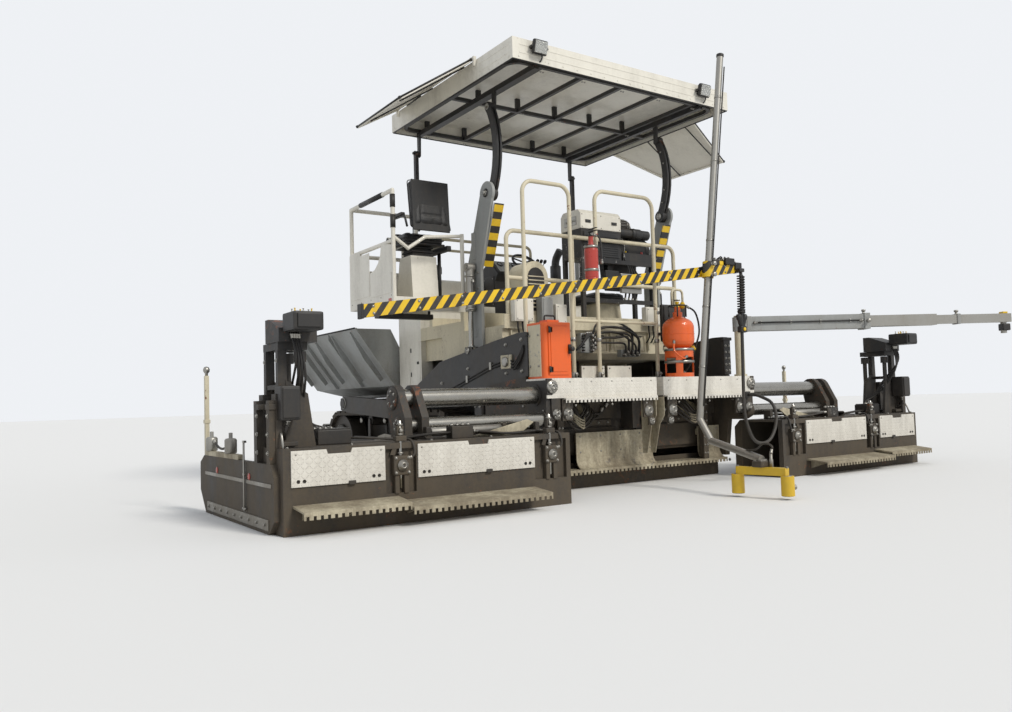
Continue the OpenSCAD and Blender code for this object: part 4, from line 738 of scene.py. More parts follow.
class PAVER_OT_canopy(Operator):
    """Trim the canopy: pressed panels, seals, rivets, flap edges and work lamps"""

    bl_idname = "paver.canopy"
    bl_label = "Canopy"

    HALF, BACK, FRONT, LOW, TOP = 1345, -2060, 240, 3730, 3917
    RIM = 9  # how far the seal lies inside the roof's edge
    RAKE = -1520  # the side trim ends here, at the flaps
    FLAP_AXIS = Vector((1363, 0, 3933))
    FLAP_SLOPE = math.radians(33)
    FRAME_BOLT = [(11, 0), (11, 2), (7, 2), (7, 8), (0, 8)]

    def execute(self, context):
        self.roof()
        self.lamps()
        for side in ("right", "left"):
            self.flap(side)
        self.link_ends()
        return {"FINISHED"}

    def roof(self):
        half, rear, front, low, top = self.HALF, self.BACK, self.FRONT, self.LOW, self.TOP
        skin = Form("white paint")
        for x in (-880, 0, 880):
            skin.block((x - 370, rear + 160, top - 2), (x + 370, front - 160, top + 7), 5)
        for y in (rear, front):
            for z in (low + 56, top - 60):
                skin.block((-half + 70, y - 3, z), (half - 70, y + 3, z + 14), 3)
        for x in (-half, half):
            for z in (low + 56, top - 60):
                skin.block((x - 3, rear + 70, z), (x + 3, self.RAKE, z + 14), 3)
        rivet_z = low + 24
        for x in range(-1280, 1281, 160):
            skin.turned((x, rear - 1, rivet_z), REAR, RIVET, 10)
            skin.turned((x, front + 1, rivet_z), FORE, RIVET, 10)
        for side in (-half - 1, half + 1):
            skin.rivets([(side, y, rivet_z) for y in range(rear + 60, front, 155)], (side, 0, 0))
        skin.done("roof_panels", "canopy", "canopy_roof")
        seal = Form("dull plastic")
        x, y0, y1 = half - self.RIM, rear + self.RIM, front - self.RIM
        seal.edging([(-x, y0, low - 2), (x, y0, low - 2), (x, y1, low - 2), (-x, y1, low - 2)], 8)
        seal.done("roof_edge_seal", "canopy", "canopy_ribs")
        joints = Form("fitting")
        for x in (-951, -475, 0, 475, 951):
            for y in (rear + 118, -960, front - 68):
                for bolt_x in (x - 14, x + 14):
                    joints.turned((bolt_x, y, low - 10), DOWN, self.FRAME_BOLT, 6)
        joints.done("roof_frame_bolts", "canopy", "canopy_ribs")

    def lamps(self):
        lamps = Form("dull plastic")
        for x in (-1090, 950):
            tilt = leaning((x, -2112, 3850), 14)
            lamps.use("dull plastic").block((-74, -16, -62), (74, 22, 62), 16, tilt, 3)
            for fin in range(-62, 58, 17):
                lamps.block((fin, 18, -50), (fin + 6, 34, 50), 1.5, tilt)
            lamps.use("polished rod").block((-64, -22, -52), (64, -14, 52), 6, tilt)
            for bulb in ((u, -22, w) for u in (-42, 0, 42) for w in (-26, 26)):
                lamps.turned(tilt @ Vector(bulb), tilt.to_3x3() @ REAR,
                             [(17, 0), (17, 2), (10, -4), (0, -5)], 18)
            lamps.use("lamp glass").block((-62, -27, -50), (62, -23, 50), 3, tilt)
            lamps.use("black paint")
            for side in (-1, 1):
                arm = x + side * 80
                lamps.block((arm - 3, -2120, 3838), (arm + 3, -2072, 3862), 3)
                lamps.bolt((arm + side * 3, -2108, 3850), (side, 0, 0), 15)
            lamps.block((x - 83, -2076, 3838), (x + 83, -2068, 3862), 3)
            lamps.block((x - 22, -2070, 3826), (x + 22, -2060, 3874), 4)
            cable = [(x + 30, -2096, 3800), (x + 36, -2090, 3776), (x + 34, -2072, 3752),
                     (x + 30, -2050, 3742)]
            lamps.use("hose rubber").pipe(flowing_path(cable), 6, 8)
        lamps.done("work_lamp_heads", "canopy", "work_lamps", replaces=("work_lamps",))

    def flap(self, side):
        out = Vector((math.cos(self.FLAP_SLOPE), 0, -math.sin(self.FLAP_SLOPE)))
        up = Vector((math.sin(self.FLAP_SLOPE), 0, math.cos(self.FLAP_SLOPE)))

        def on_sheet(u, v, w):
            return self.FLAP_AXIS + out * u + FORE * v + up * w

        corners = [(15, -1445), (839, -1358), (839, -462), (15, 45)]
        edge = Form("dull plastic")
        edge.edging([on_sheet(u, v, 0) for u, v in corners], 9)
        for u, v in corners:
            edge.turned(on_sheet(u, v, -12), up, [(13, 0), (13, 22), (9, 25), (0, 25)], 14)
        edge.use("black paint")
        for v, reach, end in ((-1300, 820, -1300), (-700, 820, -700), (-150, 60, -520)):
            edge.pipe([on_sheet(16, v, -24), on_sheet(reach, end, -24)], 7, 8)
        edge.use("fitting").rivets([on_sheet(30, v, 4) for v in (-1380, -1000, -600, -200, 0)], up)
        edge.done_on(side, "right", "flap_{}_edge", "flap_{}", "flap_{}")

    def link_ends(self):
        pins = Form("fitting")
        for z, r in ((2750, 26), (3580, 24)):
            cap = [(r + 8, 0), (r + 8, 4), (r - 4, 4), (r - 6, 2), (0, 2)]
            pins.turned((1061, -1300, z), LEFT, cap, 24).turned((1123, -1300, z), RIGHT, cap, 24)
        for z in (2890, 3020, 3310, 3440):
            bow = 110 - ((z - 3165) / 415) ** 2 * 110
            pins.bolt((1060, -1300 - bow, z), LEFT, 16)
        pins.mirrored().done("canopy_link_pins", "canopy_links", "canopy_links")


LIFT = (1215, -1060)  # the lift cylinder's axis, x and y


class PAVER_OT_brackets(Operator):
    """Fit the canopy brackets: striped stiffener plates, bolts, lift cylinder hoses"""

    bl_idname = "paver.brackets"
    bl_label = "Canopy brackets"

    PIN_Y, PIN_Z = -1300, 2750

    def execute(self, context):
        low, high = Vector((0, -1180, 2080)), Vector((0, -1400, 2640))
        back = Vector((0, -1, -0.38)).normalized() * 14
        outline = [(c.y, c.z) for c in (low, high, high - back, low - back)]
        for side in ("right", "left"):
            striped = Form("hazard plate")
            striped.plate(outline, "x", 1026, 106, 2)
            striped.use("bracket paint").plate(outline, "x", 1126, 10, 2)
            striped.done_on(side, "right", "bracket_flange_{}", "tractor", "canopy_brackets")
        bolts = Form("fitting")
        bolts.bolts([(1160, y, z) for z in (2030, 1880, 1750) for y in (-1120, -1000)], RIGHT, 20)
        cap = [(40, 0), (40, 4), (30, 8), (0, 8)]
        bolts.use("black paint").turned((1166, self.PIN_Y, self.PIN_Z), RIGHT, cap, 28)
        bolts.use("fitting").bolt((1173, self.PIN_Y, self.PIN_Z), RIGHT, 40)
        for z0, z1 in ((2160, 2420), (1420, 1500)):
            bolts.use("bracket paint").block((1159, -1095, z0), (1166, -1025, z1), 3)
        bolts.mirrored().done("bracket_bolts", "tractor", "canopy_brackets")
        cylinders = Form("fitting")
        cylinders.band((*LIFT, 1662), UP, 26.5, 46, 8)
        cylinders.band((*LIFT, 1671), UP, 42, 49, 26).band((*LIFT, 1990), UP, 42, 48, 16)
        feed = [(1215, -1100, 1720), (1215, -1130, 1720), (1215, -1130, 1930), (1215, -1102, 1960)]
        cylinders.use("hose rubber").hose(rounded_path(feed, 26), 8)
        cylinders.mirrored().done("lift_cylinder_collars", "lift_barrels", "lift_barrels")
        return {"FINISHED"}


EXHAUST, INTAKE = (900, 350), (-800, 380)  # x and y of the pipes on the hood


class PAVER_OT_hood(Operator):
    """Fit the engine hood: panels, latches, louvre blades, exhaust, air intake and rails"""

    bl_idname = "paver.hood"
    bl_label = "Engine hood"

    TOP, RAIL_FOOT, RAIL_Y, SIDE = 2149, 2140, 150, 1130

    def execute(self, context):
        top, side_x = self.TOP, self.SIDE
        skin = Form("white paint")
        for x0, x1 in ((-1080, -390), (-350, 350), (390, 1080)):
            for z0, z1 in ((1560, 1870), (1912, 2060)):
                skin.block((x0, 94, z0), (x1, 101, z1), 4)
        for x0, x1 in ((-1060, -40), (40, 1060)):
            skin.block((x0, 200, top), (x1, 540, top + 8), 4)
        for x in (-side_x, side_x):
            for y0, y1 in ((130, 340), (362, 580)):
                skin.block((x - 4, y0, 980), (x + 4, y1, 1470), 3)
                skin.block((x - 4, y0 + 20, 2030), (x + 4, y1, 2060), 3)
        skin.done("hood_panels", "tractor", "hood")
        trim = Form("dull plastic")
        for x in (-940, -500, -240, 240, 500, 940):
            trim.use("dull plastic").block((x - 26, 86, 1830), (x + 26, 96, 1856), 4)
            trim.use("fitting").turned((x, 87, 1843), REAR, [(8, 0), (8, 3), (5, 5), (0, 5)], 14)
        for side in (-1, 1):
            hinge, lock = side * (side_x + 4), side * (side_x + 6)
            for z in (1120, 1380):
                trim.use("black paint").block((hinge - 5, 316, z - 24), (hinge + 5, 336, z + 24), 3)
            trim.use("dull plastic").block((lock - 5, 150, 1225), (lock + 5, 186, 1255), 4)
            for z in range(1759, 2054, 42):
                lean = leaning((side * (side_x - 6), 0, z), side * 38, "Y")
                trim.use("white paint").block((-15, 188, -2), (15, 522, 2), 1, lean)
        trim.done("hood_latches", "tractor", "hood")
        rail = Form("rail paint")
        left, middle, right = -1040, -330, 380
        y, foot = self.RAIL_Y, self.RAIL_FOOT
        for z, r in ((2480, 15), (2600, 17)):
            hoop = [(left, y, foot), (left, y, z), (right, y, z), (right, y, foot)]
            rail.pipe(rounded_path(hoop, 80), r, 14)
        rail.pipe([(middle, y, foot), (middle, y, 2600)], 15, 14)
        for x in (left, middle, right):
            rail.turned((x, y, top - 1), UP, [(34, 0), (34, 8), (18, 14), (0, 14)], 20)
        rail.done("hood_rail", "tractor", "hood")
        pipe = Form("black paint")
        pipe.pipe(rounded_path([(*EXHAUST, foot), (*EXHAUST, 2520), (900, 250, 2620)], 90), 48, 22)
        pipe.turned((*EXHAUST, top), UP, [(80, 0), (80, 8), (58, 14), (56, 60), (50, 64), (0, 64)], 30)
        pipe.turned((*EXHAUST, 2230), UP, [(50, 0), (66, 10), (66, 210), (50, 222), (0, 222)], 30)
        pipe.turned((*INTAKE, top), UP, [(70, 0), (70, 90), (95, 100), (95, 170), (80, 190), (0, 192)], 30)
        pipe.done("exhaust_and_air_intake", "tractor", "hood")
        return {"FINISHED"}


class PAVER_OT_rear_body(Operator):
    """Fit the rear body: doors, hinges, valve block, hoses, junction boxes, extractor and deck mat"""

    bl_idname = "paver.rear_body"
    bl_label = "Rear body"

    WALL = -1460
    BOX_WALL = -1502

    def execute(self, context):
        self.doors(self.WALL)
        self.boxes(self.BOX_WALL)
        self.hoses(self.WALL)
        self.extractor()
        return {"FINISHED"}

    def doors(self, wall):
        doors = Form("beige paint")
        for x0 in (-802, -305, 203):
            doors.use("beige paint").block((x0 + 8, wall - 2, 1278), (x0 + 412, wall + 9, 1422), 5)
            for z in (1310, 1370):
                doors.block((x0 + 40, wall - 6, z), (x0 + 380, wall, z + 20), 4)
            doors.use("black paint")
            for x in (x0 + 60, x0 + 350):
                doors.rod((x - 26, wall - 8, 1424), (x + 26, wall - 8, 1424), 7, 12)
            latch = [(14, 0), (14, 4), (6, 5), (5, 12), (0, 12)]
            doors.use("fitting").turned((x0 + 210, wall - 2, 1296), REAR, latch, 18)
        doors.use("black paint")
        for x in (-1000, 960):
            grip = [(x - 60, wall), (x - 60, wall - 45), (x + 60, wall - 45), (x + 60, wall)]
            doors.pipe(rounded_path([(*p, 1330) for p in grip], 30), 9, 12)
        doors.done("rear_doors", "tractor", "rear_body")

    def boxes(self, wall):
        boxes = Form("white paint")
        for x0, x1, z0, z1, deep, finish in (
                (-1060, -850, 1530, 1740, 70, "white paint"), (-770, -640, 1515, 1760, 95, "bracket paint"),
                (-600, -470, 1515, 1700, 80, "white paint"), (560, 800, 1530, 1720, 70, "white paint"),
                (860, 1010, 1520, 1690, 60, "dull plastic")):
            face = wall - deep
            boxes.use(finish).block((x0, face, z0), (x1, wall, z1), 8)
            boxes.block((x0 + 12, face - 6, z0 + 12), (x1 - 12, face, z1 - 12), 4)
            corners = [(x, face - 5, z) for x in (x0 + 24, x1 - 24) for z in (z0 + 24, z1 - 24)]
            boxes.use("fitting").rivets(corners, REAR, 8).use("hose rubber")
            for quarter in (1, 2, 3):
                x, y = x0 + (x1 - x0) * quarter / 4, wall - deep / 2
                lead = [(x, y, z0 + 4), (x, y, z0 - 50), (x + 20, wall - 20, z0 - 110),
                        (x + 24, wall + 30, z0 - 170)]
                boxes.pipe(flowing_path(lead, 6), 8, 8)
        boxes.done("junction_boxes", "tractor", "rear_body")

    def hoses(self, wall):
        valves = Form("fitting")
        valves.use("bracket paint").block((-270, wall - 70, 1250), (-120, wall + 4, 1440), 6)
        valves.block((250, wall - 60, 1215), (480, wall + 4, 1285), 6)
        for i in range(6):
            spool = [(8, 0), (8, 8), (5, 10), (5, 16), (0, 16)]
            valves.use("fitting").turned((-245 + i * 20, wall - 70, 1425), REAR, spool, 6)
            z = 1262 + i * 28
            valves.use("dull plastic").block((-262, wall - 96, z), (-238, wall - 66, z + 18), 4)
        valves.use("hose rubber")
        for i in range(7):
            rise, out = 70 + 24 * (i % 4), wall - 96 - 13 * (i % 3)
            x0, y0, z0 = -150 + (i % 2) * 18, wall - 66, 1268 + i * 24
            x1, y1, z1 = 272 + i * 30, wall - 56, 1232 + (i % 2) * 30
            valves.hose(flowing_path([
                (x0, y0, z0), (x0 + 4, y0 - 36, z0 + 6), (x0 + 60, out - 20, z0 + rise),
                ((x0 + x1) / 2 + 20, out - 30, z0 + rise * 1.1), (x1 - 30, out - 24, z1 + rise * 1.5),
                (x1, out - 6, z1 + 24), (x1, y1 - 34, z1), (x1, y1, z1)], 8), 10 + (i % 2) * 2)
        for i in range(3):
            x, far = -230 + i * 22, i * -60
            valves.hose(flowing_path([
                (x, wall - 74, 1424), (x, wall - 118, 1430), (-330 - i * 40, wall - 130, 1300 - i * 22),
                (far - 480, wall - 80, 1232), (far - 560, wall - 30, 1246), (far - 600, wall - 4, 1250)],
                8), 10)
        valves.done("valve_block_and_hoses", "tractor", "rear_body")

    def extractor(self):
        def arch_of(foot, rx, z, rz, steps):
            """An upright outline with a round head over the extractor's middle."""
            arc = [(-755 + rx * math.cos(a), z + rz * math.sin(a))
                   for a in (math.pi - math.pi * i / steps for i in range(steps + 1))]
            return [(-755 - rx, foot), *arc, (-755 + rx, foot)]

        arch = Form("beige paint")
        arch.plate(arch_of(1600, 145, 1960, 150, 12), "y", -1490, 260, 4)
        arch.use("dull plastic").plate(arch_of(1640, 95, 1950, 100, 10), "y", -1496, 8, 2)
        arch.use("beige paint")
        for z in range(1670, 1960, 36):
            arch.block((-846, -1502, z), (-664, -1494, z + 10), 2)
        arch.block((-880, -1480, 1498), (-630, -1240, 1606), 10)
        arch.done("fume_extractor", "tractor", "platform")
        mats = Form("tread plate")
        mats.block((-600, -1080, 1498), (480, -262, 1505), 2)
        mats.block((-600, -1100, 1498), (480, -1084, 1504), 2)
        mats.done("deck_mat", "tractor", "platform")


class PAVER_OT_power_pack(Operator):
    """Dress the power pack: lid, control panel, engine guards, filter, silencer and hoses"""

    bl_idname = "paver.power_pack"
    bl_label = "Power pack"

    X0, X1, BACK, FRONT, LOW = -150, 370, -1440, -1130, 2200

    def execute(self, context):
        self.case()
        self.engine()
        return {"FINISHED"}

    def case(self):
        x0, x1, rear, front, low = self.X0, self.X1, self.BACK, self.FRONT, self.LOW
        case = Form("white paint")
        lid = [(rear - 4, 290), (rear - 4, 442), (rear + 36, 484), (front - 36, 484), (front + 4, 442),
               (front + 4, 290)]
        case.plate([(y, low + z) for y, z in lid], "x", x0 - 4, x1 - x0 + 8, 4)
        case.use("black paint").block((x0 + 30, rear - 10, low + 20), (x1 - 30, rear, low + 262), 6)
        case.use("dull plastic")
        for z in range(low + 40, low + 217, 22):
            case.block((x0 + 52, rear - 15, z), (x1 - 52, rear - 8, z + 10), 2)
        for x in (x0 + 90, x1 - 90):
            case.block((x - 34, rear - 12, low + 350), (x + 34, rear - 3, low + 380), 5)
        edges = (x0 + 16, (x0 + x1) / 2, x1 - 16)
        case.use("fitting").rivets([(x, rear - 4, z) for x in edges for z in (low + 306, low + 430)], REAR)
        case.block((x0 - 10, rear + 60, low + 330), (x0 - 3, front - 60, low + 420), 4)
        for y in range(rear + 90, rear + 211, 40):
            case.turned((x0 - 9, y, low + 375), LEFT, [(12, 0), (12, 3), (8, 5), (8, 12), (0, 13)], 18)
        case.done("power_pack_case", "tractor", "power_pack")

    def engine(self):
        rear, front, low = self.BACK, self.FRONT, self.LOW
        mid, shaft = (rear + front) / 2, low + 150
        form = Form("block metal")
        cooler = [(0, -70), (100, -70), (112, -50), (112, -12), (96, 0), (34, 4), (30, 14), (0, 16)]
        form.turned((820, mid, shaft), RIGHT, cooler, 36)
        for i in range(18):
            form.use("dull plastic").block((-8, -3, 44), (0, 3, 92), 1, leaning((826, mid, shaft), 20 * i))
        form.use("fitting").bolts(on_circle((414, mid, shaft), "x", 124, 8, 0), RIGHT, 16)
        form.ring((440, mid, shaft), RIGHT, 128, 6, 40, 8)
        form.use("dull plastic")
        cleaner = (560, rear + 66, low + 300)
        drum = [(0, 0), (56, 0), (58, 6), (58, 120), (52, 128), (30, 134), (0, 134)]
        form.turned(cleaner, RIGHT, drum, 28)
        form.ring((600, *cleaner[1:]), RIGHT, 58, 3, 28, 6)
        intake = [cleaner, (500, rear + 60, low + 310), (470, mid - 40, low + 350), (500, mid, low + 340)]
        form.pipe(flowing_path(intake), 24, 14)
        silencer = (front - 90, low + 400)
        outlet = [(0, 0), (60, 0), (66, 6), (66, 12), (20, 16), (20, 60), (16, 62), (0, 62)]
        form.use("fitting").turned((640, *silencer), RIGHT, outlet, 28)
        for _, y, z in on_circle((400, *silencer), "x", 82, 14, 0):
            if z < low + 480:
                form.rod((400, y, z), (612, y, z), 3.5, 8)
        for x in (408, 506, 604):
            form.ring((x, *silencer), RIGHT, 78, 3, 32, 6)
        filler, dipstick = [(15, 0), (15, 18), (10, 24), (0, 24)], [(17, 0), (17, 20), (12, 28), (0, 28)]
        form.use("sensor yellow").turned((480, rear + 60, low + 92), UP, filler, 16)
        form.use("extinguisher red").turned((700, rear + 60, low + 92), UP, dipstick, 16)
        form.use("hose rubber")
        for i in range(4):
            y = rear + 30 + i * 10
            form.hose(flowing_path([
                (430 + i * 30, y + 10, low + 80), (430 + i * 34, y - 12, low + 20),
                (480 + i * 40, y - 14, low - 90),
                (470 + i * 70, y - 4, low - 190), (440 + i * 60, y, low - 330),
                (430 + i * 60, y + 10, low - 420)], 8), 9)
        for i in range(3):
            y = mid - 60 + i * 40
            form.pipe(flowing_path([
                (770, y, low + 215), (800, y, low + 290), (770 - i * 30, mid - 30, low + 360),
                (700 - i * 30, mid - 60, low + 356), (660, mid - 60 + i * 8, low + 336)], 8), 6, 8)
        form.use("black paint").block((430, front - 120, low - 200), (700, front - 20, low + 4), 12)
        form.use("fitting").bolts([(x, front - 70, low + 92) for x in (460, 670)], UP, 20)
        form.block((360, rear + 4, low - 330), (640, rear + 34, low - 130), 6)
        form.use("dull plastic").block((150, rear - 2, low - 300), (330, rear + 60, low - 110), 8)
        form.use("extinguisher red").turned((240, rear - 2, low - 200), REAR, KNOB, 16)
        form.done("power_pack_engine_parts", "tractor", "power_pack")


class PAVER_OT_console(Operator):
    """Fit the deck console: dials, switches, levers, wheel and covers"""

    bl_idname = "paver.console"
    bl_label = "Deck console"

    WHEEL = Vector((0, -270, 2330))

    def execute(self, context):
        slope = leaning((0, -146, 2284), 43.3)
        flat = slope.to_3x3()
        up = flat @ UP
        form = Form("dull plastic")
        form.block((-330, -108, -4), (330, 108, 6), 5, slope)
        form.use("bracket paint").block((-300, -92, 4), (300, 92, 9), 3, slope)
        for i in range(4):
            at = slope @ Vector((-240 + i * 92, 40, 9))
            form.use("dull plastic").turned(at, up, [(36, 0), (36, 6), (32, 9), (31, 7), (0, 7)], 26)
            form.use("gauge glass").turned(at, up, [(30, 6), (30, 8), (0, 8)], 24)
        for i in range(12):
            at = slope @ Vector((-270 + (i % 6) * 62, -30 - (i // 6) * 36, 9))
            form.use("fitting").turned(at, up, [(9, 0), (9, 3), (4, 4), (3, 20), (0, 21)], 10)
        for i in range(3):
            base, lean = slope @ Vector((160 + i * 52, -40, 6)), REAR * 14
            form.use("fitting").rod(base, base + up * 110 + lean, 6, 10)
            grip = [(9, 0), (15, 8), (19, 28), (15, 44), (0, 50)]
            form.use("hose rubber").turned(base + up * 108 + lean, up, grip, 16)
        form.use("extinguisher red").turned(slope @ Vector((270, 60, 8)), up, KNOB, 18)
        wheel = self.WHEEL
        form.use("hose rubber").ring(wheel, up, 150, 13, 40, 10)
        form.use("fitting").rod(slope @ Vector((0, -70, 0)), wheel - up * 6, 20, 16)
        for i in range(3):
            a = math.tau * i / 3 + 0.5
            spoke = flat @ Vector((math.cos(a), math.sin(a), 0)) * 148
            form.use("dull plastic").pipe([wheel, wheel + spoke], 9, 8)
        form.turned(wheel - up * 12, up, [(34, 0), (38, 10), (30, 26), (0, 28)], 22)
        form.use("black paint").block((-346, -150, 1560), (-338, 60, 2180), 4)
        form.block((338, -150, 1560), (346, 60, 2180), 4).use("fitting")
        for side in (-347, 347):
            form.rivets([(side, y, z) for y in (-130, 40) for z in (1590, 1870, 2150)], (side, 0, 0), 8)
        form.done("console_controls", "tractor", "console")
        return {"FINISHED"}


class PAVER_OT_station(Operator):
    """Fit the outboard station: panels, wheel, levers, dials, grips and step"""

    bl_idname = "paver.station"
    bl_label = "Outboard station"

    OUT, IN, BACK, FRONT, FLOOR = -1950, -1175, -920, 50, 1790
    POST_X = -1224  # the side console's post

    def execute(self, context):
        self.panels()
        self.controls()
        return {"FINISHED"}

    def panels(self):
        out, inner, rear, front, floor = self.OUT, self.IN, self.BACK, self.FRONT, self.FLOOR
        form = Form("white paint")
        form.block((out + 30, front - 22, floor + 30), (inner - 30, front - 14, floor + 350), 4)
        form.block((out - 4, -420, floor + 60), (out + 1, front - 40, floor + 480), 3)
        form.block((out - 4, rear + 30, floor + 40), (out + 1, -440, floor + 230), 3)
        form.use("fitting").rivets([(out, y, floor + 18) for y in (-880, -660, -440, -220, 0)], LEFT, 8)
        form.use("tread plate")
        form.block((out + 12, rear + 12, floor - 2), (inner - 12, front - 24, floor + 5), 2)
        form.use("dull plastic")
        for z in (floor + 640, floor + 830):
            form.pipe([(out + 20, rear + 20, z), (out + 20, rear + 20, z + 120)], 25, 14)
        form.pipe([(out + 20, -700, 2780), (out + 20, -200, 2780)], 25, 14)
        lead = [(26, -880, 2420), (60, -800, 2330), (120, -700, 2300), (180, -560, 2330), (260, -420, 2250),
                (300, -300, 2060), (330, -180, 1900), (340, -100, 1800)]
        form.use("hose rubber").pipe(flowing_path([(out + x, y, z) for x, y, z in lead]), 9, 10)
        lamp = [(26, 0), (26, 6), (22, 14), (0, 18)]
        form.use("extinguisher red").turned((inner + 6, rear - 1, floor + 60), REAR, lamp, 20)
        form.block((out - 3, rear + 40, 1752), (out + 3, rear + 100, 1782), 3)
        form.use("black paint")
        for y in (-780, -150):
            form.block((out + 160, y - 20, 1700), (out + 260, y + 50, 1752), 6)
        form.block((out + 60, -480, 1640), (inner - 120, -380, 1690), 4)
        step = [(out + 90, 1745), (out + 90, 1665), (inner - 140, 1665), (inner - 140, 1745)]
        form.pipe(rounded_path([(x, -430, z) for x, z in step], 40), 14, 12)
        form.done("station_panels", "station", "station")

    def controls(self):
        place = leaning((-1440, -160, 2430), 35)
        up = place.to_3x3() @ UP
        form = Form("hose rubber")
        form.ring(place @ Vector((0, 10, 40)), up, 130, 17, 44, 12)
        form.use("dull plastic").block((-156, -96, -26), (156, 116, 20), 12, place, 3)
        form.turned(place @ Vector((0, 10, 30)), up, [(30, 0), (36, 6), (34, 18), (22, 24), (0, 25)], 24)
        for x in (-90, 0, 90):
            dial = [(24, 0), (24, 4), (21, 6), (0, 6)]
            form.use("gauge glass").turned(place @ Vector((x, 92, 19)), up, dial, 22)
        for x in range(-120, 121, 60):
            switch = [(7, 0), (7, 3), (3, 4), (3, 18), (0, 18)]
            form.use("fitting").turned(place @ Vector((x, -80, 20)), up, switch, 10)
        post = self.POST_X
        form.use("black paint").block((post - 26, -700, 2300), (post + 28, -300, 2352), 10)
        form.pipe([(post, -500, 1790), (post, -500, 2304)], 18, 14)
        form.turned((post, -500, 1789), UP, [(46, 0), (46, 8), (24, 14), (0, 14)], 20)
        for y in (-360, -450):
            form.use("fitting").rod((post + 2, y, 2350), (post + 2, y + 10, 2440), 6, 10)
            grip = [(9, 0), (17, 10), (20, 34), (14, 50), (0, 54)]
            form.use("hose rubber").turned((post + 2, y + 10, 2436), UP, grip, 16)
        form.done("station_controls", "station", "station")


